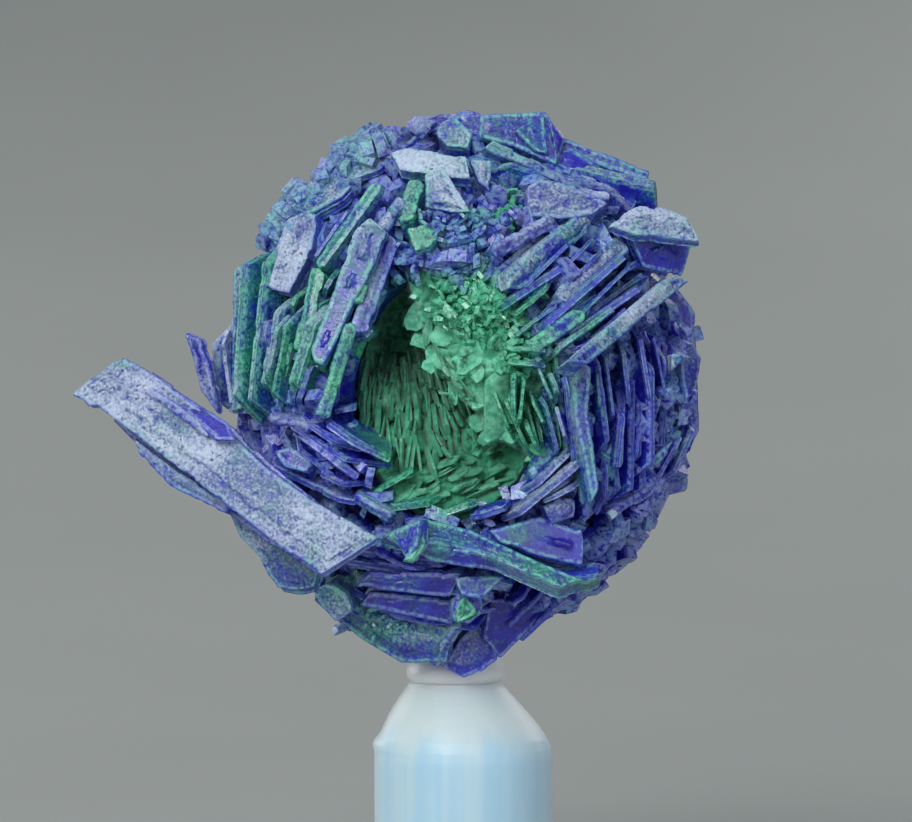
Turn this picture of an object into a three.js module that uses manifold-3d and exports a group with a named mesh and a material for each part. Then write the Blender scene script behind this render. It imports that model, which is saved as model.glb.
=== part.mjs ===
// An azurite rosette with a malachite-lined hollow, pressed into putty on a translucent plastic post.
// Millimetres, +Z up. The origin is the centre of the post's flat foot, and the hollow faces -Y.
import * as THREE from 'three';
import { mergeVertices } from 'three/addons/utils/BufferGeometryUtils.js';
import Module from 'manifold-3d';

const wasm = await Module();
wasm.setup();

// Driving dimensions
const POST_DIAMETER = 12.7;
const NECK_DIAMETER = 6.6;
const SHOULDER_Z = 11.4;
const NECK_Z = 15.9;
const NECK_HEIGHT = 0.6;
const FOOT_CHAMFER = 0.5;
const SHOULDER_FULLNESS = new THREE.Vector2(0.5, 2); // how near the body's wall the shoulder's curve stays
const SHOULDER_STEPS = 4;
const POST_SIDES = 24;

const PUTTY_DIAMETER = 7.0;
const PUTTY_HEIGHT = 2.0;
const PUTTY_ROUNDING = 0.9;
const PUTTY_LIFT = 0.7; // how far the putty is pinched up on its right side
const PUTTY_SIDES = 20;
const PUTTY_STEPS = 5;

const ROSETTE_Z = 37.3; // centre of the rosette above the foot
const BALL = new THREE.Vector3(16.6, 14.2, 18.6); // half-sizes of the ball that the blades' edges reach
const CORE_SHARE = 0.8; // size of the intergrown heart against the ball
const CORE_ROUGHNESS = 0.07;
const BALL_DETAIL = 2; // how often the faces of the heart and of the pocket are split

const HOLLOW_AT = new THREE.Vector3(-1.0, -7.4, -0.6); // from the rosette's centre
const HOLLOW = new THREE.Vector3(6.2, 7.4, 8.2); // half-sizes of the pocket in the front of the rosette
const GAP = 0.3; // clearance between pieces that touch

// The malachite's forms, from the rosette's centre: how far each stands off the pocket's wall, and where
const CRUST = { thick: 1.9, around: 24, along: 14, deepest: 0.85 };
const TONGUE = { height: 4.6, x: -0.9, z: 1.0, slope: [0.72, 0.69], end: 8, wave: 0.12, waves: 2.2 };
const RIBS = { height: 0.45, waves: 5.2, lean: 0.34, bottom: -6.5, top: -4.5 };
const RAMP = { height: 3.4, top: 3.0, bottom: 8.0 };
const CAVE = { depth: 1.3, x: -4.2, z: 4.0, spread: 4 };

const SEED = 20;

// Books of parallel blades, in millimetres and degrees from the rosette's centre. at is the middle of the
// book's outer edges, yaw and pitch the way the edges face, turn the long axis' angle seen from outside,
// fan and splay the turn and tilt from one blade to the next, step the spacing across the blades and slide
// the shift along them.
const BOOKS = [
  { name: 'left', at: [-10.6, -11.6, 4.0], yaw: -32, pitch: 4, turn: 77, fan: 2.6, splay: 3, slide: -0.7,
    count: 7, step: 1.8, length: 12.4, depth: 6.5, thick: 1.05 },
  { name: 'left_wing', at: [-17.0, -4.4, 1.6], yaw: -68, pitch: 0, turn: 98, fan: 3, splay: 4, slide: -0.4,
    count: 2, step: 1.9, length: 9.5, depth: 6, thick: 1.1 },
  { name: 'upper_right', at: [8.6, -12.6, 6.8], yaw: 18, pitch: 12, turn: 38, fan: 1.2, splay: 2,
    slide: -0.15, count: 7, step: 1.3, length: 9.0, depth: 6.5, thick: 0.8 },
  { name: 'right_inner', at: [5.4, -12.4, -2.2], yaw: 6, pitch: -4, turn: 102, fan: 4, splay: 4, slide: 0.1,
    count: 5, step: 1.15, length: 8.6, depth: 5.5, thick: 0.5 },
  { name: 'right_outer', at: [12.3, -9.8, -2.5], yaw: 46, pitch: -2, turn: 92, fan: 1.5, splay: 5,
    slide: 0.1, count: 8, step: 1.54, length: 12.4, depth: 6.5, thick: 0.72 },
  { name: 'violet', at: [-10.2, -11.4, -4.4], yaw: -28, pitch: -6, turn: -33, fan: 2, splay: 2, slide: 0.3,
    count: 4, step: 1.05, length: 6.8, depth: 7, thick: 0.6 },
  { name: 'base', at: [-3.4, -9.4, -14.2], yaw: -6, pitch: -30, turn: -9, fan: 1.5, splay: 4, slide: -0.2,
    count: 5, step: 1.3, length: 10.4, depth: 6.5, thick: 0.95 },
  { name: 'base_right', at: [5.2, -7.2, -14.2], yaw: 26, pitch: -38, turn: 34, fan: 2, splay: 5, slide: 0.2,
    count: 4, step: 1.5, length: 8.2, depth: 6.5, thick: 0.7 },
  { name: 'sill', at: [5.9, -12.4, -7.9], yaw: 14, pitch: -12, turn: 37, fan: 3, splay: 3, slide: 0.5,
    count: 3, step: 1.25, length: 5.8, depth: 5.5, thick: 0.55 },
  { name: 'crown', at: [7.6, -7.0, 15.0], yaw: 16, pitch: 46, turn: -23, fan: 1.5, splay: 5, slide: 0.5,
    count: 2, step: 2.6, length: 10.4, depth: 6.5, thick: 1.2 },
  { name: 'brow', at: [0.8, -11.4, 10.0], yaw: 0, pitch: 24, turn: -30, fan: 8, splay: 4, slide: 0,
    count: 3, step: 1.5, length: 5.0, depth: 5, thick: 0.7 },
];

// Blades round the sides and the back: yaw and pitch of each book, the turn of its blades and how far out
// it reaches as a share of the ball.
const BACK_BOOKS = [
  [98, 0, 78, 1.0], [138, 24, 24, 1.0], [146, -26, 112, 0.96], [180, 2, 66, 1.0], [172, 46, -12, 1.0],
  [186, -44, 20, 0.92], [224, 22, 122, 1.0], [220, -22, 50, 0.96], [262, 4, 96, 1.0], [256, 40, 30, 0.98],
  [256, -42, 20, 0.9], [96, 42, -18, 0.98], [92, -44, 40, 0.84],
];
const BACK_BOOK = { fan: 2, splay: 8, slide: 0.1, count: 3, step: 3.2, length: 12.4, depth: 6, thick: 2.0 };

// Single crystals whose broad face shows: at is the crystal's centre, yaw and pitch the way its broad face
// looks, and taper how far back its corners are cut, against a plain crystal's.
const TABLETS = [
  { name: 'long_blade', at: [-16.9, -7.4, -5.7], yaw: -20, pitch: 10, turn: -35,
    length: 23.6, width: 4.4, thick: 2.0, taper: 0.35, skew: 1.0 },
  { name: 'long_blade_under', at: [-14.2, -7.6, -7.4], yaw: -20, pitch: 4, turn: -37,
    length: 16.0, width: 5.2, thick: 1.5, taper: 0.6 },
  { name: 'long_blade_heel', at: [-12.4, -6.8, -10.2], yaw: -28, pitch: -16, turn: -44,
    length: 9.4, width: 5.6, thick: 2.2, taper: 0.8 },
  { name: 'left_fin', at: [-18.0, -4.8, 1.0], yaw: -30, pitch: 0, turn: -70,
    length: 7.0, width: 2.2, thick: 0.8, taper: 1 },
  { name: 'broad_lath', at: [-8.0, -13.0, 6.2], yaw: -4, pitch: 6, turn: 68,
    length: 12.0, width: 2.6, thick: 2.8, taper: 0.9 },
  { name: 'pale_shield', at: [-11.8, -9.8, 9.6], yaw: -34, pitch: 24, turn: 62,
    length: 6.4, width: 4.0, thick: 1.3, taper: 0.6 },
  { name: 'shoulder_plate', at: [-8.4, -7.8, 13.4], yaw: -36, pitch: 42, turn: 33,
    length: 12.4, width: 6.6, thick: 1.5, taper: 0.7 },
  { name: 'shoulder_under', at: [-13.2, -4.4, 10.4], yaw: -62, pitch: 34, turn: 44,
    length: 9.0, width: 6.4, thick: 1.4, taper: 0.8 },
  { name: 'roof_left', at: [-4.0, -3.4, 17.0], yaw: -24, pitch: 66, turn: 16,
    length: 10.8, width: 7.4, thick: 1.6, taper: 0.6 },
  { name: 'white_plate', at: [-2.4, -11.0, 14.4], yaw: -6, pitch: 34, turn: -14,
    length: 6.8, width: 3.6, thick: 1.4, taper: 0.7 },
  { name: 'crown_block', at: [3.2, -4.6, 16.1], yaw: 8, pitch: 16, turn: -6,
    length: 6.4, width: 4.6, thick: 5.2, taper: 0.5 },
  { name: 'crown_lump', at: [-1.0, -6.0, 16.8], yaw: -10, pitch: 36, turn: 14,
    length: 4.8, width: 3.2, thick: 3.0, taper: 1 },
  { name: 'grey_lump', at: [6.9, -10.4, 12.6], yaw: 10, pitch: 26, turn: -12,
    length: 5.4, width: 2.8, thick: 2.6, taper: 1 },
  { name: 'right_fin', at: [13.2, -6.6, 11.0], yaw: 30, pitch: 44, turn: -6,
    length: 7.0, width: 4.8, thick: 1.2, taper: 0.9 },
  { name: 'under_fin', at: [12.7, -6.0, 8.6], yaw: 42, pitch: -4, turn: 10,
    length: 6.4, width: 4.2, thick: 2.4, taper: 0.6 },
  { name: 'speckled_lath', at: [11.4, -13.0, 4.3], yaw: 8, pitch: 22, turn: 34,
    length: 10.0, width: 1.7, thick: 2.6, taper: 1.3 },
  { name: 'hanging_lath', at: [8.5, -13.0, -3.6], yaw: 4, pitch: -2, turn: 96,
    length: 10.0, width: 1.4, thick: 3.0, taper: 1.5 },
  { name: 'lens_blade', at: [2.1, -11.4, -11.8], yaw: 4, pitch: -16, turn: -13,
    length: 15.6, width: 3.7, thick: 3.2, taper: 2.6 },
  { name: 'lens_tail', at: [7.2, -9.2, -10.4], yaw: 26, pitch: -20, turn: 24,
    length: 7.4, width: 4.0, thick: 1.8, taper: 1 },
  { name: 'teal_chip', at: [-2.9, -11.2, 10.4], yaw: -6, pitch: 14, turn: 14,
    length: 3.2, width: 2.2, thick: 2.4, taper: 0.8 },
  { name: 'teal_rod', at: [-4.3, -11.2, 12.2], yaw: -10, pitch: 18, turn: 66,
    length: 4.0, width: 1.6, thick: 2.4, taper: 0.8 },
  { name: 'sill_plate', at: [-7.6, -11.8, -6.8], yaw: -24, pitch: 4, turn: -28,
    length: 7.6, width: 2.2, thick: 1.8, taper: 1 },
  { name: 'green_ledge', at: [-3.4, -11.0, -8.6], yaw: -4, pitch: 30, turn: 12,
    length: 6.4, width: 2.6, thick: 1.8, taper: 1 },
  { name: 'base_block', at: [0.4, -10.2, -15.2], yaw: 4, pitch: -14, turn: 80,
    length: 2.6, width: 2.2, thick: 3.0, taper: 0.9 },
  { name: 'base_druse', at: [-6.8, -5.6, -15.4], yaw: -24, pitch: -30, turn: -34,
    length: 8.2, width: 4.4, thick: 2.6, taper: 0.8 },
  { name: 'base_wedge', at: [-2.2, -4.2, -16.4], yaw: -8, pitch: -22, turn: -12,
    length: 8.4, width: 4.2, thick: 4.0, taper: 1.2 },
  { name: 'base_keel', at: [2.8, -3.6, -16.2], yaw: 18, pitch: -18, turn: 24,
    length: 7.6, width: 4.2, thick: 4.0, taper: 1.2 },
];

// The lowest crystals, which sit in the putty
const TIP_TABLETS = [
  { name: 'tip_plate', at: [0.8, -2.8, -17.6], yaw: 6, pitch: -10, turn: -66,
    length: 5.8, width: 3.4, thick: 2.4, taper: 0.9 },
  { name: 'tip_rod', at: [-1.3, -3.0, -17.6], yaw: -6, pitch: -8, turn: 52,
    length: 5.0, width: 1.6, thick: 2.0, taper: 0.7 },
  { name: 'tip_root', at: [0.2, -0.4, -16.8], yaw: 20, pitch: -4, turn: 90,
    length: 5.4, width: 4.6, thick: 3.6, taper: 0.7 },
];

const AZURITE = new THREE.MeshStandardMaterial({ color: '#2c3f9a', roughness: 0.55, metalness: 0 });
const MALACHITE = new THREE.MeshStandardMaterial({ color: '#3f8f68', roughness: 0.85, metalness: 0 });
const PUTTY = new THREE.MeshStandardMaterial({ color: '#d3dfe2', roughness: 0.5, metalness: 0 });
const PLASTIC = new THREE.MeshStandardMaterial({ color: '#a9cfe0', roughness: 0.3, metalness: 0 });

const radians = THREE.MathUtils.degToRad;

// Repeatable random numbers from 0 to 1.
function randomFrom(seed) {
  let state = seed >>> 0;
  return () => {
    state = (Math.imul(state, 1664525) + 1013904223) >>> 0;
    return state / 4294967296;
  };
}

// A closed geometry as a solid that can be joined and cut.
function solid(geometry) {
  const bare = geometry.clone();
  bare.deleteAttribute('normal');
  bare.deleteAttribute('uv');
  const merged = mergeVertices(bare, 1e-4);
  return new wasm.Manifold(new wasm.Mesh({
    numProp: 3,
    vertProperties: merged.attributes.position.array,
    triVerts: new Uint32Array(merged.index.array),
  }));
}

// The largest body of a joined solid, with the voids that the crystals enclose filled.
function outerSkin(made) {
  return made.decompose().reduce((best, body) => (body.volume() > best.volume() ? body : best));
}

// A joined or cut solid as a named mesh.
function meshOf(name, made, material) {
  const { vertProperties, triVerts } = made.getMesh();
  const geometry = new THREE.BufferGeometry();
  geometry.setAttribute('position', new THREE.BufferAttribute(vertProperties, 3));
  geometry.setIndex(new THREE.BufferAttribute(triVerts, 1));
  geometry.computeVertexNormals();
  const mesh = new THREE.Mesh(geometry, material);
  mesh.name = name;
  return mesh;
}

// The way a face looks: yaw 0 looks to -Y and turns towards +X, pitch lifts it.
function outward(yaw, pitch) {
  const [y, p] = [radians(yaw), radians(pitch)];
  return new THREE.Vector3(Math.sin(y) * Math.cos(p), -Math.cos(y) * Math.cos(p), Math.sin(p));
}

// A direction square to facing, turned from level by an angle, counter-clockwise seen from outside.
function acrossFace(facing, yaw, turn) {
  const east = new THREE.Vector3(Math.cos(radians(yaw)), Math.sin(radians(yaw)), 0);
  const north = facing.clone().cross(east);
  return east.multiplyScalar(Math.cos(radians(turn))).addScaledVector(north, Math.sin(radians(turn)));
}

// A tabular crystal: a six-sided outline with a chisel point at each end, extruded. Its length runs along X,
// its width along Y and its thickness along Z. taper sets back the corners, skew slides one long side past
// the other, and grow adds clearance on every side.
function crystal({ length, width, thick, taper = 1, skew = 0 }, random, grow = 0) {
  const half = length / 2 + grow;
  const side = width / 2 + grow;
  const cut = () => Math.min(0.85 * half, taper * side * (0.35 + 0.6 * random()));
  const nose = () => side * (1.3 * random() - 0.65);
  const shape = new THREE.Shape([
    new THREE.Vector2(-half + cut() - skew, -side),
    new THREE.Vector2(half - cut() - skew, -side),
    new THREE.Vector2(half, nose()),
    new THREE.Vector2(half - cut() + skew, side),
    new THREE.Vector2(-half + cut() + skew, side),
    new THREE.Vector2(-half, nose()),
  ]);
  const depth = thick + 2 * grow;
  const geometry = new THREE.ExtrudeGeometry(shape, { depth, steps: 1, bevelEnabled: false });
  return geometry.translate(0, 0, -depth / 2);
}

// One crystal whose broad face looks along yaw and pitch.
function tablet(row, random, grow = 0) {
  const normal = outward(row.yaw, row.pitch);
  const along = acrossFace(normal, row.yaw, row.turn);
  const place = new THREE.Matrix4().makeBasis(along, normal.clone().cross(along), normal);
  place.setPosition(...row.at);
  return solid(crystal(row, random, grow).applyMatrix4(place));
}

// A book of blades that stand on edge, their outer edges facing along yaw and pitch.
function book(row, random) {
  const facing = outward(row.yaw, row.pitch);
  const spine = acrossFace(facing, row.yaw, row.turn);
  const across = facing.clone().cross(spine);
  const vary = (share) => 1 + share * (2 * random() - 1);
  const blades = [];
  for (let i = 0; i < row.count; i++) {
    const k = i - (row.count - 1) / 2;
    const length = row.length * vary(0.18);
    const width = row.depth * vary(0.08);
    const thick = row.thick * vary(0.35);
    const lift = 0.9 * (random() - 0.5);
    const shift = k * row.slide + 0.12 * row.length * (random() - 0.5);
    const outer = facing.clone().applyAxisAngle(spine, radians(-k * row.splay));
    const along = spine.clone().applyAxisAngle(outer, radians(k * row.fan + 5 * (random() - 0.5)));
    const place = new THREE.Matrix4().makeBasis(along, outer, along.clone().cross(outer));
    const drop = 0.5 * k * k * row.step * radians(row.splay); // the outer edges follow the ball's curve
    place.setPosition(new THREE.Vector3(...row.at)
      .addScaledVector(across, k * row.step)
      .addScaledVector(along, shift)
      .addScaledVector(outer, lift - drop - width / 2));
    blades.push(solid(crystal({ length, width, thick }, random).applyMatrix4(place)));
  }
  return blades;
}

// The same kind of book on the sides and back, where its outer edges reach the ball.
function backBook([yaw, pitch, turn, reach], random) {
  const at = outward(yaw, pitch).multiply(BALL).multiplyScalar(reach).toArray();
  return book({ ...BACK_BOOK, at, yaw, pitch, turn }, random);
}

// A ball of half-sizes and place, with its surface pushed in and out by a share.
function boulder(sizes, at, roughness, random) {
  const ball = new THREE.IcosahedronGeometry(1, BALL_DETAIL);
  const geometry = mergeVertices(ball.deleteAttribute('uv').deleteAttribute('normal'));
  const { position } = geometry.attributes;
  const point = new THREE.Vector3();
  for (let i = 0; i < position.count; i++) {
    point.fromBufferAttribute(position, i).multiplyScalar(1 + roughness * (2 * random() - 1));
    position.setXYZ(i, ...point.multiply(sizes).add(at).toArray());
  }
  return solid(geometry);
}

// All the intergrown crystals as one solid, with the pocket cut in the front.
function azuriteRosette() {
  const random = randomFrom(SEED);
  const crystals = [
    ...BOOKS.flatMap((row) => book(row, random)),
    ...BACK_BOOKS.flatMap((row) => backBook(row, random)),
    ...TABLETS.map((row) => tablet(row, random)),
    ...TIP_TABLETS.map((row, i) => tablet(row, randomFrom(SEED + i))),
  ];
  const heart = BALL.clone().multiplyScalar(CORE_SHARE);
  const core = boulder(heart, new THREE.Vector3(), CORE_ROUGHNESS, random);
  const pocket = boulder(HOLLOW, HOLLOW_AT, 0, random);
  return outerSkin(wasm.Manifold.union([core, ...crystals]).subtract(pocket));
}

const smooth = THREE.MathUtils.smoothstep;

// Thickness of the malachite before the pocket's wall, at x across and z up from the rosette's centre.
// edge is the distance beyond the tongue's lower left edge.
function crustThickness(x, z) {
  const edge = TONGUE.slope[0] * (x - TONGUE.x) + TONGUE.slope[1] * (z - TONGUE.z);
  const lobes = 1 + TONGUE.wave * Math.sin(TONGUE.waves * (z - x));
  const tongue = TONGUE.height * lobes * smooth(edge, -0.3, 0.5) * smooth(TONGUE.end - Math.abs(z), 0, 3);
  const beside = smooth(-edge, 0.4, 1.2) * smooth(z, RIBS.bottom, RIBS.top);
  const ribs = RIBS.height * Math.sin(RIBS.waves * (x + RIBS.lean * z)) * beside;
  const ramp = RAMP.height * smooth(-z, RAMP.top, RAMP.bottom);
  const cave = CAVE.depth * Math.exp(-((x - CAVE.x) ** 2 + (z - CAVE.z) ** 2) / CAVE.spread);
  return CRUST.thick + tongue + ribs + ramp - cave;
}

// The crust: its back follows the pocket's wall with a gap, its front stands the thickness off that wall and
// stays inside the pocket.
function malachiteCrust() {
  const sizes = HOLLOW.clone().subScalar(GAP);
  const geometry = new THREE.SphereGeometry(1, CRUST.around, CRUST.along).rotateX(Math.PI / 2);
  const { position } = geometry.attributes;
  for (let i = 0; i < position.count; i++) {
    const [u, v, w] = [position.getX(i), position.getY(i), position.getZ(i)];
    const x = HOLLOW_AT.x + sizes.x * u;
    const z = HOLLOW_AT.z + sizes.z * w;
    const reach = sizes.y * Math.abs(v);
    const thick = Math.min(1, 3 * Math.abs(v)) * crustThickness(x, z); // thinner towards the rim
    const front = Math.max(reach - thick, -CRUST.deepest * reach);
    position.setXYZ(i, x, HOLLOW_AT.y + (v < 0 ? front : reach), z);
  }
  return solid(geometry);
}

// The post: a turned profile with a chamfered foot, a straight body, a rounded shoulder and a short neck.
function postGeometry() {
  const [body, neck] = [POST_DIAMETER / 2, NECK_DIAMETER / 2];
  const shoulder = new THREE.QuadraticBezierCurve(
    new THREE.Vector2(body, SHOULDER_Z),
    new THREE.Vector2(body - SHOULDER_FULLNESS.x, SHOULDER_Z + SHOULDER_FULLNESS.y),
    new THREE.Vector2(neck, NECK_Z - NECK_HEIGHT),
  );
  const profile = [
    new THREE.Vector2(0, 0),
    new THREE.Vector2(body - FOOT_CHAMFER, 0),
    new THREE.Vector2(body, FOOT_CHAMFER),
    ...shoulder.getPoints(SHOULDER_STEPS),
    new THREE.Vector2(neck, NECK_Z),
    new THREE.Vector2(0, NECK_Z),
  ];
  return new THREE.LatheGeometry(profile, POST_SIDES).rotateX(Math.PI / 2);
}

// The putty: a rounded collar, higher on its right side, with room for the rosette's lowest crystals.
function puttyCollar() {
  const radius = PUTTY_DIAMETER / 2;
  const middle = PUTTY_HEIGHT / 2;
  const bulge = new THREE.EllipseCurve(
    radius - PUTTY_ROUNDING, middle, PUTTY_ROUNDING, middle, -Math.PI / 2, Math.PI / 2,
  );
  const rounded = bulge.getPoints(PUTTY_STEPS);
  const profile = [new THREE.Vector2(0, 0), ...rounded, new THREE.Vector2(0, PUTTY_HEIGHT)];
  const geometry = new THREE.LatheGeometry(profile, PUTTY_SIDES).rotateX(Math.PI / 2);
  const { position } = geometry.attributes;
  for (let i = 0; i < position.count; i++) {
    const [x, z] = [position.getX(i), position.getZ(i)];
    position.setZ(i, z + (z / PUTTY_HEIGHT) * PUTTY_LIFT * smooth(x, 0, radius));
  }
  geometry.translate(0, 0, NECK_Z + GAP - ROSETTE_Z);
  const tips = TIP_TABLETS.map((row, i) => tablet(row, randomFrom(SEED + i), GAP));
  return tips.reduce((left, tip) => left.subtract(tip), solid(geometry));
}

const specimen = new THREE.Group();
specimen.position.z = ROSETTE_Z;
specimen.add(meshOf('azurite_rosette', azuriteRosette(), AZURITE));
specimen.add(meshOf('malachite_crust', malachiteCrust(), MALACHITE));
specimen.add(meshOf('putty_collar', puttyCollar(), PUTTY));

const post = new THREE.Mesh(postGeometry(), PLASTIC);
post.name = 'post';

const part = new THREE.Group();
part.add(specimen, post);

export default part;
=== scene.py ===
"""The looks of an azurite rosette on a plastic post: bladed crystals, a malachite-lined hollow, putty, post.

Shapes are worked out in millimetres from the rosette's centre, with +Z up and the hollow facing -Y, and go
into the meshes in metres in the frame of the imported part.
"""
import math

import bpy
import numpy as np
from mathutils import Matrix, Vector


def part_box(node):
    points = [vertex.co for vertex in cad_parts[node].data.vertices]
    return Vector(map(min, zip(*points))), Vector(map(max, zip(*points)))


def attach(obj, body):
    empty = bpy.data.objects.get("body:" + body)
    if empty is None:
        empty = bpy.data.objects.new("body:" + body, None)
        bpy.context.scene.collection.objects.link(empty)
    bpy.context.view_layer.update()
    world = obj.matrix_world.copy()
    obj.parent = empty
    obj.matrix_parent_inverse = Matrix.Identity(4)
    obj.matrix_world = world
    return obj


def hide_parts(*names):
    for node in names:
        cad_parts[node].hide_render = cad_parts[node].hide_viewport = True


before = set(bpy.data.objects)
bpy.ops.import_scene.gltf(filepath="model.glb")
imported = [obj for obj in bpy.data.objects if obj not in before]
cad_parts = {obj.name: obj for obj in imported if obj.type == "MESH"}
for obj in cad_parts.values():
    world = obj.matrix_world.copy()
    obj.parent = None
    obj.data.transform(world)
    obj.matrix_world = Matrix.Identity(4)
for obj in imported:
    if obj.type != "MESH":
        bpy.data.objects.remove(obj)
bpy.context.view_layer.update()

# Sizes in millimetres
MM = 0.001
ROSETTE_Z = 37.3  # the rosette's centre above the post's foot
BALL = np.array([16.6, 14.2, 18.6])  # half-sizes of the ball that the blades' outer edges reach
CORE_SHARE = 0.8
HOLLOW_AT = np.array([-1.0, -7.4, -0.6])
HOLLOW = np.array([6.2, 7.4, 8.2])
SEED = 20

# Grid spacing on the crystals
FINE = 0.16
PLAIN = 0.26
COARSE = 0.5
FACE_WIDTH = 0.75  # laths wider than this show their broad face, narrower ones their edge
LATH_DEEP = 3.0  # how far a lath goes in where its row doesn't say
SHARP_ANGLE = 34  # degrees between faces from which an edge is sharp

# Relief on a crystal, in millimetres
CHIP = 0.12
SMALL_CHIP = 0.1
RAGGED = 0.02
BEVEL = 0.06
TERRACE = 0.08
PAGE_GROOVE = 0.09
STREAK = 0.02
PIT = 0.07
EDGE_REACH = 0.22  # how far the edge band, with its powder and its painted highlight, goes in over a face

# The photograph: its size and the scale at the post, which places the camera
PHOTO_WIDTH = 912
PHOTO_HEIGHT = 822
PIXEL = 0.0694
CENTRE_PIXEL = (464, 385)  # where the rosette's centre is
CAMERA_DISTANCE = 300.0
FOCUS_Y = -8.0

# Books of parallel blades that stand on edge. at is the middle of their outer edges, yaw and pitch the way
# the edges face, turn the long axis' angle seen from outside, fan and splay the turn and tilt from blade to
# blade, step their spacing and slide their shift along each other. coat is the pale powder on the faces and
# on the edges, verd the green and hue the powder's colour, from lilac at 0 to turquoise at 1.
BOOK_COLUMNS = ("at", "yaw", "pitch", "turn", "fan", "splay", "slide", "count", "step", "length", "depth",
                "thick", "coat", "verd", "hue")
BOOKS = {
    "left": ((-13.0, -10.0, 3.4), -40, 4, 80, 1.7, 2, -0.45, 8, 1.06, 12.4, 4.6, 0.82,
        (0.3, 0.62), 0.38, 0.7),
    "left_wing": ((-17.0, -4.4, 1.6), -68, 0, 98, 2, 3, -0.3, 4, 1.2, 9.5, 5.0, 0.8,
        (0.4, 0.7), 0.15, 0.35),
    "upper_right": ((8.4, -12.0, 6.6), 18, 12, 38, 1.0, 1.6, -0.1, 9, 1.02, 9.0, 4.6, 0.6,
        (0.02, 0.26), 0.16, 0.4),
    "right_inner": ((5.4, -12.4, -2.2), 6, -4, 102, 2.4, 2.4, 0.06, 10, 0.57, 8.6, 4.5, 0.34,
        (0.1, 0.42), 0.35, 0.7),
    "right_outer": ((12.3, -9.8, -2.5), 46, -2, 92, 0.9, 2.8, 0.05, 16, 0.76, 12.2, 5.5, 0.36,
        (0.0, 0.24), 0.0, 0.1),
    "violet": ((-10.2, -11.4, -4.4), -28, -6, -33, 1.5, 2, 0.2, 6, 0.75, 6.8, 5.5, 0.46,
        (0.12, 0.4), 0.05, 0.0),
    "base": ((-3.4, -9.4, -14.2), -6, -30, -9, 1.0, 3, -0.15, 8, 0.85, 10.4, 5.5, 0.6,
        (0.05, 0.26), 0.05, 0.1),
    "base_right": ((5.2, -7.2, -14.2), 26, -38, 34, 1.4, 3.4, 0.1, 8, 0.8, 8.2, 5.5, 0.46,
        (0.02, 0.14), 0.0, 0.0),
    "sill": ((5.9, -12.4, -7.9), 14, -12, 37, 3, 3, 0.5, 4, 0.95, 5.8, 5.0, 0.42, (0.3, 0.75), 0.05, 0.05),
    "crown": ((7.6, -7.0, 15.0), 16, 46, -23, 1.2, 4, 0.4, 4, 1.5, 10.4, 6.0, 1.1,
        (0.25, 0.62), 0.18, 0.45),
    "brow": ((0.8, -11.4, 10.0), 0, 24, -30, 6, 4, 0, 5, 0.9, 5.0, 4.5, 0.5, (0.2, 0.45), 0.2, 0.2),
}

# Books round the sides and the back: yaw, pitch, turn and reach as a share of the ball
BACK_BOOKS = [
    (98, 0, 78, 1.0), (138, 24, 24, 1.0), (146, -26, 112, 0.96), (180, 2, 66, 1.0), (172, 46, -12, 1.0),
    (186, -44, 20, 0.92), (224, 22, 122, 1.0), (220, -22, 50, 0.96), (262, 4, 96, 1.0), (256, 40, 30, 0.98),
    (256, -42, 20, 0.9), (96, 42, -18, 0.98), (92, -44, 40, 0.84),
]
BACK_BOOK = dict(fan=1.2, splay=4.5, slide=0.06, count=7, step=1.3, length=12.4, depth=5.0, thick=0.8,
                 coat=(0.12, 0.45), verd=0.08, hue=0.25)

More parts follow.
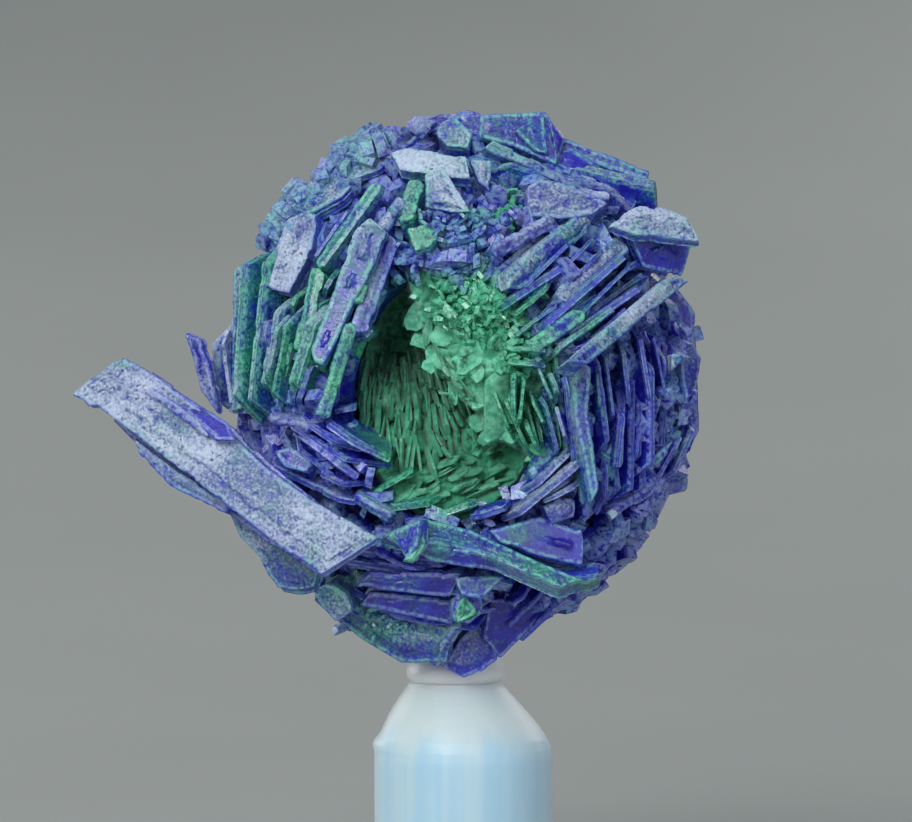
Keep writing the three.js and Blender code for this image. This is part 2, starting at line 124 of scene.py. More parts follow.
# Single crystals whose broad face shows. corners are the pixels of the photograph that their outline passes
# through, yaw and pitch the way the face looks and deep the thickness. A face stands reach millimetres before
# the ball where gauge is lift, and before the rosette's centre where it is front. layers is the number of
# sheets that the thickness is made of, one where a row leaves it out.
FACE_COLUMNS = ("corners", "gauge", "reach", "yaw", "pitch", "deep", "coat", "verd", "hue", "layers")
FACES = {
    "long_blade": ("125,357 150,373 181,395 222,427 268,469 316,503 379,538 320,575 272,541 220,500 177,467 "
        "134,434 114,419 103,411 97,405 88,406 82,399 71,394 92,377 104,370 110,363",
        "front", 8.6, -20, 10, 1.1, (0.84, 0.7), 0.1, 0.3),
    "long_back": ("130,364 178,392 228,424 272,466 320,505 374,540 322,577 268,544 216,505 174,472 132,440 "
        "112,420",
        "front", 7.5, -20, 10, 0.9, (0.5, 0.4), 0.0, 0.1),
    # The long blade's narrow top face, given less powder than its front so that it reads dark: painted shade.
    "long_band": ("152,370 190,396 228,422 236,438 216,438 196,421 168,393",
        "front", 8.9, -4, 44, 0.5, (0.3, 0.2), 0.0, 0.1),
    "long_ridge": ("150,386 182,407 212,432 206,437 178,416 146,394",
        "front", 9.0, -20, 10, 0.4, (0.8, 0.75), 0.0, 0.05),
    "long_strip": ("133,438 176,471 231,504 226,514 170,486 138,453",
        "front", 8.2, -20, 4, 1.0, (0.78, 0.7), 0.0, 0.2),
    "under_plate": ("222,500 262,520 318,570 313,588 294,591 277,588 269,578 258,557 239,537",
        "front", 7.6, -24, -8, 1.6, (0.6, 0.6), 0.14, 0.6, 2),
    "heel_plate": ("312,590 328,582 346,594 352,612 336,622 320,606",
        "front", 8.2, -20, -14, 2.4, (0.55, 0.6), 0.2, 0.3),
    "left_fin": ("184,333 199,339 211,373 217,414 200,390 192,358",
        "front", 4.6, -30, 0, 0.9, (0.6, 0.5), 0.0, 0.0),
    "pale_shield": ("286,218 301,212 317,213 310,249 287,293 259,285 274,249",
        "lift", 1.2, -26, 16, 1.6, (0.84, 0.7), 0.0, 0.12),
    "shoulder_low": ("258,226 282,198 304,186 300,212 280,226 266,244",
        "lift", 1.0, -50, 28, 1.8, (0.66, 0.55), 0.04, 0.35, 2),
    "shoulder_mid": ("282,200 325,169 348,158 366,168 340,196 306,214",
        "lift", 1.0, -34, 40, 2.0, (0.66, 0.6), 0.08, 0.5, 3),
    "shoulder_high": ("340,164 386,139 424,116 436,118 410,140 380,166 352,176",
        "lift", 0.8, -24, 50, 2.0, (0.6, 0.55), 0.06, 0.4, 2),
    "broad_lath": ("369,217 386,231 376,262 352,304 336,340 322,366 313,361 310,349 330,298 354,230",
        "lift", 1.6, -10, 8, 2.4, (0.4, 0.62), 0.14, 0.8, 2),
    "white_plate": ("390,151 406,146 466,155 470,177 432,174 400,168",
        "lift", 1.6, -8, 34, 1.4, (0.8, 0.7), 0.1, 0.5),
    "white_wedge": ("424,172 442,165 470,211 448,211 425,206",
        "lift", 1.7, -10, 14, 1.6, (0.8, 0.7), 0.16, 0.6),
    "white_chip": ("470,159 491,160 491,191 479,181", "lift", 1.0, 4, 10, 1.6, (0.82, 0.7), 0.0, 0.3),
    "top_lump": ("440,120 456,116 472,132 468,147 446,144 436,132",
        "lift", 1.0, -8, 34, 2.2, (0.55, 0.6), 0.12, 0.7),
    "roof": ("424,116 440,112 486,112 484,134 452,126 430,128",
        "lift", 0.3, -6, 46, 2.4, (0.45, 0.5), 0.0, 0.05, 2),
    "crown_block": ("480,114 545,111 551,118 559,166 514,146 479,137",
        "lift", 2.2, 6, 14, 4.4, (0.3, 0.45), 0.2, 0.9),
    "crown_triangle": ("515,129 545,114 549,153 536,150", "lift", 2.7, 14, 18, 1.6, (0.42, 0.5), 0.24, 1.0),
    "crown_side": ("548,115 556,122 567,137 560,166 552,150",
        "lift", 1.8, 40, 16, 3.0, (0.45, 0.5), 0.0, 0.0),
    "grey_lump": ("526,187 541,178 578,186 609,203 592,216 560,218 530,217",
        "lift", 0.9, 8, 22, 2.4, (0.62, 0.6), 0.08, 0.35),
    "right_fin": ("610,224 625,210 641,204 665,206 688,215 701,240 670,236 636,233",
        "front", 8.4, 16, 36, 1.1, (1.0, 0.9), 0.0, 0.3),
    "under_fin": ("628,232 668,234 695,243 683,277 645,268",
        "front", 6.8, 30, -8, 2.4, (0.14, 0.3), 0.04, 0.3, 2),
    "teal_chip": ("406,227 425,224 440,235 431,247 415,250",
        "lift", 0.9, -4, 22, 2.0, (0.5, 0.5), 0.4, 0.95),
    "rim_plate": ("684,338 696,344 703,358 699,386 688,405 683,370",
        "front", 5.0, 46, 4, 1.2, (0.55, 0.5), 0.0, 0.0),
    "rim_low": ("647,462 661,448 676,440 668,456 653,472", "lift", 0.8, 30, 4, 1.2, (0.62, 0.6), 0.04, 0.5),
    "violet_plate": ("273,451 290,446 314,461 306,472 284,467",
        "lift", 0.6, -20, 16, 2.0, (0.32, 0.6), 0.06, 0.5),
    "lens_upper": ("382,533 422,516 471,528 535,558 588,580 602,574 560,586 492,556 432,545",
        "lift", 2.4, 4, 30, 2.2, (0.0, 0.14), 0.3, 0.7),
    "lens_lower": ("400,543 434,541 492,552 560,582 600,577 586,592 560,597 492,573 430,562",
        "lift", 2.3, 4, -26, 2.4, (0.0, 0.12), 0.24, 0.5),
    "lens_tip": ("381,536 401,526 419,519 416,545 404,561 398,546",
        "lift", 2.9, -34, 6, 1.6, (0.34, 0.5), 0.12, 0.7),
    "lens_patch": ("415,522 422,518 426,546 414,563 404,561 416,545",
        "lift", 3.1, 8, 6, 1.2, (0.6, 0.6), 0.42, 0.9),
    "tail_block": ("490,530 540,516 583,529 584,566 540,556 500,542",
        "lift", 1.2, 16, 8, 3.0, (0.0, 0.2), 0.2, 0.5, 3),
    "step_upper": ("356,587 369,573 462,573 450,598", "lift", 1.2, -4, -16, 1.6, (0.1, 0.35), 0.02, 0.2, 2),
    "step_corner": ("454,577 507,575 482,599 462,596", "lift", 1.7, 8, 6, 1.8, (0.36, 0.5), 0.16, 0.8),
    "step_lower": ("360,606 370,592 450,599 453,625", "lift", 0.9, -6, -10, 1.8, (0.22, 0.4), 0.04, 0.1, 2),
    "base_block": ("451,600 464,592 484,598 482,614 470,624 454,622",
        "lift", 1.8, 10, 0, 2.4, (0.3, 0.5), 0.05, 0.8),
    "base_mint": ("453,606 464,594 478,613 456,623", "lift", 2.3, -14, 8, 1.0, (0.6, 0.6), 0.45, 1.0),
    "tip_plate": ("478,622 498,646 498,660 482,672 466,680 442,668 460,640",
        "front", 5.0, 6, -8, 2.4, (0.55, 0.5), 0.0, 0.0),
    "sugar_lump": ("543,505 560,497 577,500 575,517 553,524",
        "lift", 0.9, 14, 0, 1.8, (0.5, 0.5), 0.0, 0.0),
    "speckled_lath": ("568,361 660,281 676,275 690,280 588,364",
        "lift", 1.8, 40, 26, 2.0, (0.8, 0.8), 0.1, 0.5),
    "hanging_lath": ("575,370 584,361 592,368 591,390 589,414 594,444 600,488 592,504 583,456 575,418 "
        "573,386",
        "lift", 1.5, 18, 2, 2.6, (0.36, 0.55), 0.16, 0.6),
    "rim_triangle": ("672,353 687,356 673,371", "lift", 0.9, 26, 6, 0.8, (0.3, 0.9), 0.1, 0.5),
    "white_grain": ("607,512 613,508 620,514 613,520", "lift", 1.2, 10, 10, 0.8, (1.0, 1.0), 0.0, 0.3),
    "foot_grain": ("330,628 337,626 341,634 334,637", "front", 6.6, -20, -10, 2.0, (0.95, 0.95), 0.0, 0.3),
    "keel": ("490,600 552,592 556,604 500,660 484,640",
        "front", 5.6, 20, -24, 3.0, (0.04, 0.2), 0.0, 0.0, 2),
    "druse_bed": ("320,592 352,590 392,614 450,630 446,664 400,664 360,640 336,622",
        "front", 6.0, -14, -14, 3.0, (0.42, 0.5), 0.3, 0.4, 2),
}

# Laths: long narrow crystals. ends are the pixels of the photograph where they begin and end, wide is how
# wide they look, lift how far they stand before the ball and deep how far they go in.
LATH_COLUMNS = ("ends", "wide", "lift", "coat", "verd", "hue", "deep", "layers")
LATHS = {
    "left": [
        ("238,265 236,413", 1.05, 0.2, (0.45, 0.55), 0.2, 0.75, 3.5),
        ("220,330 233,415", 0.65, 0.4, (0.86, 0.86), 0.0, 0.2),
        ("259,282 254,408", 1.3, 0.3, (0.36, 0.5), 0.18, 0.4, 3.5),
        ("266,314 262,352", 0.7, 0.9, (0.4, 0.5), 0.0, 0.0, 2.0),
        ("278,316 271,376", 0.6, 0.2, (0.1, 0.35), 0.12, 0.7),
        ("302,280 284,324", 0.6, 0.7, (0.3, 0.5), 0.62, 1.0),
        ("318,266 298,354", 1.1, 0.9, (0.35, 0.5), 0.42, 0.9, 3.5),
        ("338,266 321,297", 0.65, 0.7, (0.4, 0.5), 0.3, 0.8),
        ("392,233 357,334", 1.25, 0.6, (0.52, 0.52), 0.0, 0.05),
        ("362,281 355,304", 0.85, 1.2, (0.5, 0.5), 0.45, 0.9, 2.0),
        ("293,333 275,410", 0.7, 0.6, (0.2, 0.5), 0.42, 0.9, 3.5),
        ("301,368 290,411", 0.5, 0.6, (0.3, 0.5), 0.3, 0.8),
        ("312,360 295,411", 0.65, 0.9, (0.4, 0.6), 0.04, 0.4),
        ("352,322 321,420", 1.0, 1.0, (0.45, 0.5), 0.34, 0.7),
        ("379,180 316,266", 0.95, 1.0, (0.26, 0.5), 0.28, 0.85),
        ("352,203 310,264", 0.6, 0.6, (0.15, 0.4), 0.1, 0.6),
        ("418,177 401,222", 1.35, 1.2, (0.56, 0.5), 0.34, 1.0, 2.4),
        ("403,196 380,230", 0.9, 1.5, (0.72, 0.6), 0.0, 0.15, 2.0),
    ],
    "upper right": [
        ("493,252 557,218", 1.0, 0.6, (0.55, 0.55), 0.1, 0.2),
        ("508,286 590,216", 1.6, 1.0, (0.58, 0.6), 0.14, 0.6, 3.0, 2),
        ("507,303 572,261", 0.75, 0.3, (0.14, 0.42), 0.1, 0.5),
        ("520,313 558,278", 0.6, 0.8, (0.4, 0.5), 0.48, 1.0),
        ("561,299 626,240", 1.5, 0.9, (0.62, 0.6), 0.05, 0.25),
        ("549,328 604,292", 0.7, 0.4, (0.22, 0.5), 0.14, 0.6),
        ("530,348 585,309", 1.1, 1.0, (0.55, 0.6), 0.36, 0.9),
        ("553,352 622,302", 0.55, 0.9, (0.4, 0.65), 0.34, 0.9),
        ("611,278 650,256", 0.6, 0.3, (0.1, 0.5), 0.0, 0.1),
        ("520,330 566,300", 0.5, 0.5, (0.3, 0.55), 0.2, 0.8),
        ("590,312 652,268", 0.6, 0.5, (0.2, 0.5), 0.08, 0.4),
        ("516,348 560,352", 0.5, 0.8, (0.45, 0.6), 0.2, 0.8, 2.5),
        ("512,362 548,366", 0.45, 0.7, (0.3, 0.6), 0.15, 0.6, 2.5),
    ],
    "right": [
        ("578,353 677,285", 0.5, 1.0, (0.05, 0.2), 0.0, 0.0),
        ("596,354 601,414", 0.38, 0.7, (0.04, 0.36), 0.1, 0.7),
        ("605,348 615,425", 0.45, 0.6, (0.0, 0.26), 0.04, 0.5),
        ("622,339 630,405", 0.6, 0.9, (0.25, 0.4), 0.05, 0.6),
        ("625,401 617,479", 0.55, 0.8, (0.3, 0.42), 0.0, 0.05),
        ("639,330 653,417", 0.5, 0.7, (0.2, 0.34), 0.0, 0.0),
        ("655,338 668,408", 0.42, 0.6, (0.04, 0.34), 0.0, 0.0),
        ("664,346 667,378", 0.4, 0.8, (0.3, 0.65), 0.0, 0.2),
        ("641,418 636,462", 0.45, 0.5, (0.0, 0.26), 0.0, 0.0),
        ("699,418 671,480", 0.6, 0.4, (0.25, 0.4), 0.0, 0.0),
        ("688,424 652,489", 0.5, 0.5, (0.18, 0.4), 0.0, 0.0),
        ("668,480 612,514", 0.8, 0.5, (0.4, 0.45), 0.0, 0.1),
    ],
    "fan beside the hollow": [
        ("513,373 513,417", 0.5, 0.7, (0.3, 0.4), 0.22, 0.5, 2.6),
        ("525,373 519,429", 0.45, 0.7, (0.2, 0.4), 0.3, 0.6, 2.6),
        ("529,395 547,431", 0.35, 0.5, (0.3, 0.5), 0.28, 0.9, 2.6),
        ("538,369 556,408", 0.4, 0.9, (0.5, 0.6), 0.18, 0.8, 2.6),
        ("553,373 561,405", 0.45, 1.0, (0.52, 0.6), 0.18, 0.8, 2.6),
        ("556,409 568,448", 0.55, 0.8, (0.42, 0.5), 0.0, 0.2, 2.6),
        ("544,398 560,457", 0.5, 0.4, (0.14, 0.36), 0.06, 0.3, 2.6),
        ("526,424 541,457", 0.4, 0.7, (0.3, 0.5), 0.45, 0.9, 2.6),
        ("566,378 577,472", 0.5, 0.5, (0.1, 0.34), 0.03, 0.3, 2.6),
    ],
    "sill": [
        ("581,463 506,524", 0.65, 1.3, (0.72, 0.75), 0.0, 0.05),
        ("585,481 546,502", 0.5, 1.3, (0.7, 0.75), 0.0, 0.05),
    ],
    "lower left": [
        ("297,432 354,475", 0.7, 1.0, (0.45, 0.45), 0.0, 0.0),
        ("303,423 353,450", 0.6, 0.7, (0.34, 0.4), 0.0, 0.0),
        ("266,418 309,429", 0.8, 1.0, (0.55, 0.5), 0.0, 0.0),
        ("262,462 350,506", 0.75, 0.8, (0.5, 0.55), 0.02, 0.05),
        ("312,470 356,492", 0.6, 0.6, (0.3, 0.4), 0.0, 0.0),
    ],
    "base": [
        ("344,588 389,613", 0.5, 1.3, (0.12, 0.3), 0.0, 0.1, 2.6),
        ("386,612 453,629", 0.42, 1.1, (0.3, 0.5), 0.0, 0.0, 2.6),
        ("366,548 410,571", 0.42, 1.5, (0.15, 0.42), 0.0, 0.0, 2.6),
        ("362,560 432,572", 0.45, 1.2, (0.08, 0.3), 0.0, 0.1, 2.6),
        ("432,668 459,626", 0.85, 1.8, (0.8, 0.6), 0.06, 0.4, 1.8),
        ("498,638 547,591", 0.5, 1.0, (0.05, 0.24), 0.0, 0.0),
        ("503,616 531,592", 0.35, 1.2, (0.1, 0.4), 0.0, 0.0),
        ("512,650 562,603", 0.6, 0.6, (0.05, 0.24), 0.0, 0.0),
    ],
    "crown": [
        ("487,142 612,198", 0.85, 2.3, (0.72, 0.6), 0.08, 0.35, 2.0),
        ("558,150 638,206", 1.9, 0.9, (0.2, 0.5), 0.05, 0.8),
        ("558,142 650,178", 1.0, 0.4, (0.5, 0.5), 0.1, 0.6),
        ("600,166 652,196", 0.9, 0.0, (0.1, 0.3), 0.0, 0.0),
    ],
    "hollow": [
        ("362,500 408,474", 0.5, -1.2, (0.35, 0.4), 0.75, 0.9, 2.0),
        ("384,510 436,503", 0.7, -0.6, (0.2, 0.4), 0.35, 0.6, 2.2),
        ("430,518 476,502", 0.7, -0.6, (0.15, 0.3), 0.25, 0.5, 2.2),
        ("352,496 392,520", 0.8, 0.2, (0.3, 0.4), 0.25, 0.3, 2.4),
        ("470,520 512,506", 0.7, 0.1, (0.1, 0.3), 0.1, 0.2, 2.4),
        ("433,299 456,319", 0.8, -1.4, (0.3, 0.4), 0.9, 1.0, 1.6),
    ],
}

# Loose small crystals: where they gather, how far they spread, how many, how long, and their finish. Those
# with a shell lie on the ball, between two shares of its size.
DRUSE_COLUMNS = ("at", "spread", "count", "length", "coat", "verd", "hue", "shell")
DRUSE = {
    "brow": ((-0.6, -10.9, 9.4), (2.8, 0.7, 2.0), 420, 0.9, 0.02, 0.2, 0.4),
    "foot": ((-4.0, -5.9, -16.4), (1.9, 0.3, 0.9), 320, 0.6, 0.5, 0.3, 0.4),
    "hollow_top": ((1.2, -11.2, 5.2), (2.2, 0.8, 1.6), 560, 0.8, 0.3, 0.7, 0.9),
    "knot": ((4.2, -12.2, 2.0), (1.2, 0.7, 1.0), 160, 0.8, 0.3, 0.3, 0.4),
    "pit": ((2.8, -8.4, 12.0), (1.2, 0.5, 1.2), 70, 0.7, 0.0, 0.6, 0.9),
    "shoulder_low": ((-12.4, -4.5, 12.0), (1.8, 1.8, 1.8), 130, 1.8, 0.5, 0.06, 0.35, (0.97, 1.06)),
    "shoulder_high": ((-7.2, -4.3, 15.8), (3.0, 1.8, 1.6), 170, 1.8, 0.45, 0.08, 0.4, (0.97, 1.06)),
    "roof": ((-1.0, -2.2, 18.5), (3.0, 2.0, 0.8), 70, 1.7, 0.35, 0.02, 0.1, (0.96, 1.02)),
    "crown": ((9.4, -5.5, 13.5), (2.8, 1.8, 1.8), 70, 1.6, 0.3, 0.06, 0.3, (0.92, 1.0)),
    "right_rim": ((15.7, -4.6, 0.3), (0.8, 2.0, 4.0), 40, 1.5, 0.3, 0.0, 0.0, (0.92, 1.0)),
    "right_low": ((13.0, -6.8, -6.8), (1.8, 1.4, 2.0), 36, 1.4, 0.3, 0.0, 0.0, (0.94, 1.0)),
    "base_left": ((-7.9, -4.4, -15.0), (2.2, 1.8, 1.4), 150, 1.4, 0.45, 0.25, 0.5, (0.94, 1.03)),
    "tail": ((7.7, -6.4, -14.0), (2.2, 1.4, 1.2), 36, 1.4, 0.05, 0.0, 0.0, (0.94, 1.02)),
}
GAP_CHIPS = 3000  # small crystals all round, between the blades
GAP_SHELL = (0.8, 0.95)  # where they lie, as shares of the ball
BACK_CHIPS = 160  # more of them on the sides and the back, at the blades' edges
BACK_SHELL = (0.92, 1.0)
BACK_FRONT = 2.0  # no nearer the viewer than this

# Rows and pixels


def named(columns, row, **defaults):
    """A row's values under its columns' names. A short row leaves its last columns to the defaults."""
    return dict(defaults, **dict(zip(columns, row)))


def pixels(pairs):
    """Pixels that are written as one text, across and down."""
    return [tuple(int(part) for part in pair.split(",")) for pair in pairs.split()]


# Directions and frames


def unit(vector):
    """The vector at length 1."""
    return vector / np.linalg.norm(vector)


def stacked(*values):
    """Arrays of any matching shapes as one array of points or of value rows."""
    return np.stack(np.broadcast_arrays(*values), axis=-1)


def circle(sides):
    """Angles evenly round a circle."""
    return np.linspace(0, 2 * math.pi, sides, endpoint=False)


def outward(yaw, pitch):
    """The way a face looks: yaw 0 looks to -Y and turns towards +X, pitch lifts it."""
    y, p = math.radians(yaw), math.radians(pitch)
    return np.array([math.sin(y) * math.cos(p), -math.cos(y) * math.cos(p), math.sin(p)])


def across_face(facing, yaw, turn):
    """A direction square to facing, turned from level by an angle, counter-clockwise seen from outside."""
    east = np.array([math.cos(math.radians(yaw)), math.sin(math.radians(yaw)), 0.0])
    north = np.cross(facing, east)
    return math.cos(math.radians(turn)) * east + math.sin(math.radians(turn)) * north


def turned(vector, axis, degrees):
    """The vector turned about a unit axis."""
    a = math.radians(degrees)
    along = axis * axis.dot(vector)
    return along + (vector - along) * math.cos(a) + np.cross(axis, vector) * math.sin(a)


# Lines of sight

EYE = np.array([(PHOTO_WIDTH / 2 - CENTRE_PIXEL[0]) * PIXEL, FOCUS_Y - CAMERA_DISTANCE,
                (CENTRE_PIXEL[1] - PHOTO_HEIGHT / 2) * PIXEL])


def seen_on_plane(pixel, point, normal):
    """Where the line of sight through a pixel meets a plane."""
    right, up = pixel[0] - PHOTO_WIDTH / 2, PHOTO_HEIGHT / 2 - pixel[1]
    ray = np.array([right * PIXEL, CAMERA_DISTANCE, up * PIXEL])
    return EYE + ray * ((point - EYE) @ normal / (ray @ normal))


def seen_at(pixel, front):
    """The point at a pixel that stands front millimetres before the rosette's centre."""
    return seen_on_plane(pixel, np.array([0.0, -front, 0.0]), np.array([0.0, 1.0, 0.0]))


def ball_front(pixel):
    """How far the ball's surface stands before the rosette's centre at a pixel."""
    x = (pixel[0] - CENTRE_PIXEL[0]) * PIXEL
    z = (CENTRE_PIXEL[1] - pixel[1]) * PIXEL
    return BALL[1] * math.sqrt(max(0.06, 1 - (x / BALL[0]) ** 2 - (z / BALL[2]) ** 2))


# Noise


def lattice(cell, seed):
    """A repeatable number from 0 to 1 for every whole-number cell."""
    n = cell.astype(np.int64).astype(np.uint32)
    mixed = n[..., 0] * np.uint32(374761393) + n[..., 1] * np.uint32(668265263)
    mixed = mixed + n[..., 2] * np.uint32(2246822519) + np.uint32((seed * 3266489917) & 0xFFFFFFFF)
    mixed = (mixed ^ (mixed >> np.uint32(15))) * np.uint32(2246822519)
    mixed = (mixed ^ (mixed >> np.uint32(13))) * np.uint32(3266489917)
    return (mixed ^ (mixed >> np.uint32(16))).astype(float) / 4294967295.0


def noise(points, size, seed):
    """Smooth noise from -1 to 1: random numbers on a lattice of the given size, blended by a cubic ease."""
    scaled = points / size
    cell = np.floor(scaled)
    part = scaled - cell
    ease = part * part * (3 - 2 * part)
    total = np.zeros(points.shape[:-1])
    for corner in np.ndindex(2, 2, 2):
        weight = np.prod(np.where(np.array(corner) == 1, ease, 1 - ease), axis=-1)
        total += weight * lattice(cell + np.array(corner), seed)
    return 2 * total - 1


def cells(points, size, seed):
    """Distance to the nearest of the random points, one a cell: 0 at a grain's top, about 1 between."""
    scaled = points / size
    cell = np.floor(scaled)
    nearest = np.full(points.shape[:-1], 9.0)
    for step in np.ndindex(3, 3, 3):
        there = cell + np.array(step) - 1
        spot = there + np.stack([lattice(there, seed + i) for i in range(3)], axis=-1)
        nearest = np.minimum(nearest, np.linalg.norm(scaled - spot, axis=-1))
    return nearest


def smooth(value, low, high):
    """0 below low, 1 above high, and an S-curve between."""
    t = np.clip((value - low) / (high - low), 0, 1)
    return t * t * (3 - 2 * t)


# Meshes


def ring_faces(rows, columns, first, last):
    """Quads between closed rings of vertices, and the fans that close the end rings on a pole each."""
    ids = np.arange(rows * columns).reshape(rows, columns)
    beside = np.roll(ids, -1, axis=1)
    quads = np.stack([ids[:-1], ids[1:], beside[1:], beside[:-1]], axis=-1).reshape(-1, 4)
    start = np.stack([np.full(columns, first), ids[0], beside[0]], axis=-1)
    end = np.stack([np.full(columns, last), beside[-1], ids[-1]], axis=-1)
    return quads, np.concatenate([start, end])


def grid_normals(points):
    """Outward unit normals of a grid of closed rings, from the steps along and around it."""
    around = np.roll(points, -1, axis=1) - np.roll(points, 1, axis=1)
    normals = np.cross(np.gradient(points, axis=0), around)
    return normals / np.maximum(np.linalg.norm(normals, axis=-1, keepdims=True), 1e-9)


def closed_rings(points, growth, first, last):
    """A grid of rings with a pole at each end, as vertices, quads, triangles and growth values."""
    rows, columns = points.shape[:2]
    quads, fans = ring_faces(rows, columns, rows * columns, rows * columns + 1)
    vertices = np.concatenate([points.reshape(-1, 3), [first, last]])
    values = np.concatenate([growth.reshape(-1, 4), [growth[0].mean(axis=0), growth[-1].mean(axis=0)]])
    return vertices, quads, fans, values


def make_piece(name, parts, material, node, lift=ROSETTE_Z):
    """One mesh object from parts of vertices, quads, triangles and growth values, riding on the one body."""
    offsets = np.cumsum([0] + [len(part[0]) for part in parts])
    vertices = np.concatenate([part[0] for part in parts]) + np.array([0, 0, lift])
    quads = np.concatenate([part[1] + offset for part, offset in zip(parts, offsets)])
    fans = np.concatenate([part[2] + offset for part, offset in zip(parts, offsets)])
    growth = np.concatenate([part[3] for part in parts])
    mesh = bpy.data.meshes.new(name)
    mesh.vertices.add(len(vertices))
    mesh.vertices.foreach_set("co", (vertices * MM).astype(np.float32).ravel())
    mesh.loops.add(quads.size + fans.size)
    mesh.loops.foreach_set("vertex_index", np.concatenate([quads.ravel(), fans.ravel()]).astype(np.int32))
    mesh.polygons.add(len(quads) + len(fans))
    starts = np.concatenate([np.arange(0, quads.size, 4), quads.size + np.arange(0, fans.size, 3)])
    mesh.polygons.foreach_set("loop_start", starts.astype(np.int32))
    mesh.update(calc_edges=True)
    mesh.polygons.foreach_set("use_smooth", np.ones(len(starts), bool))
    mesh.set_sharp_from_angle(angle=math.radians(SHARP_ANGLE))
    attribute = mesh.attributes.new("growth", "FLOAT_COLOR", "POINT")
    attribute.data.foreach_set("color", np.clip(growth, 0, 1).astype(np.float32).ravel())
    mesh.materials.append(material)
    piece = bpy.data.objects.new(name, mesh)
    bpy.context.scene.collection.objects.link(piece)
    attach(piece, "root")
    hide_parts(node)
    return piece


# Crystals


def chains(corners):
    """The upper and lower sides of a counter-clockwise outline, each from its left tip to its right one."""
    corners = np.roll(corners, -corners[:, 0].argmin(), axis=0)
    right = corners[:, 0].argmax()
    sides = [np.concatenate([corners[right:], corners[:1]])[::-1], corners[: right + 1].copy()]
    for side in sides:
        side[:, 0] = np.maximum.accumulate(side[:, 0]) + 1e-6 * np.arange(len(side))
    return sides


def outline(length, width, rng):
    """A six-sided outline with a chisel point at each end."""
    half, side = length / 2, width / 2
    cut = np.minimum(0.85 * half, side * (0.35 + 0.6 * rng.random(4)))
    nose = side * (1.3 * rng.random(2) - 0.65)
    return chains(np.array([
        [-half + cut[0], -side], [half - cut[1], -side], [half, nose[0]],
        [half - cut[2], side], [-half + cut[3], side], [-half, nose[1]],
    ]))


def hollow_nearness(points):
    """1 inside the hollow's mouth, falling to 0 some millimetres away from it."""
    across = ((points[..., 0] - HOLLOW_AT[0]) / 7.0) ** 2 + ((points[..., 2] - HOLLOW_AT[2]) / 8.6) ** 2
    return np.exp(-2.6 * np.maximum(0, across - 0.55)) * smooth(-points[..., 1], 2, 7)


def growth_values(points, normals, coat, verd, hue, rim):
    """Powder coat, green, edge and powder colour for each point: the finish given, more powder where the
    surface looks up and left towards the key light, partly real powder and partly a painted highlight,
    more green near the hollow, and slow noise over all of them."""
    # Painted highlight in part: faces turned up, left and forward towards the key light get more pale powder.
    toward_key_light = normals @ unit(np.array([-0.5, -0.45, 0.75]))
    powder = coat * (0.62 + 0.42 * toward_key_light) + 0.24 * noise(points, 2.2, 5)
    green = verd + 0.5 * hollow_nearness(points) + 0.22 * noise(points, 1.7, 6) - 0.08
    colour = hue + 0.45 * noise(points, 2.6, 7)
    return stacked(powder, green, rim, colour)


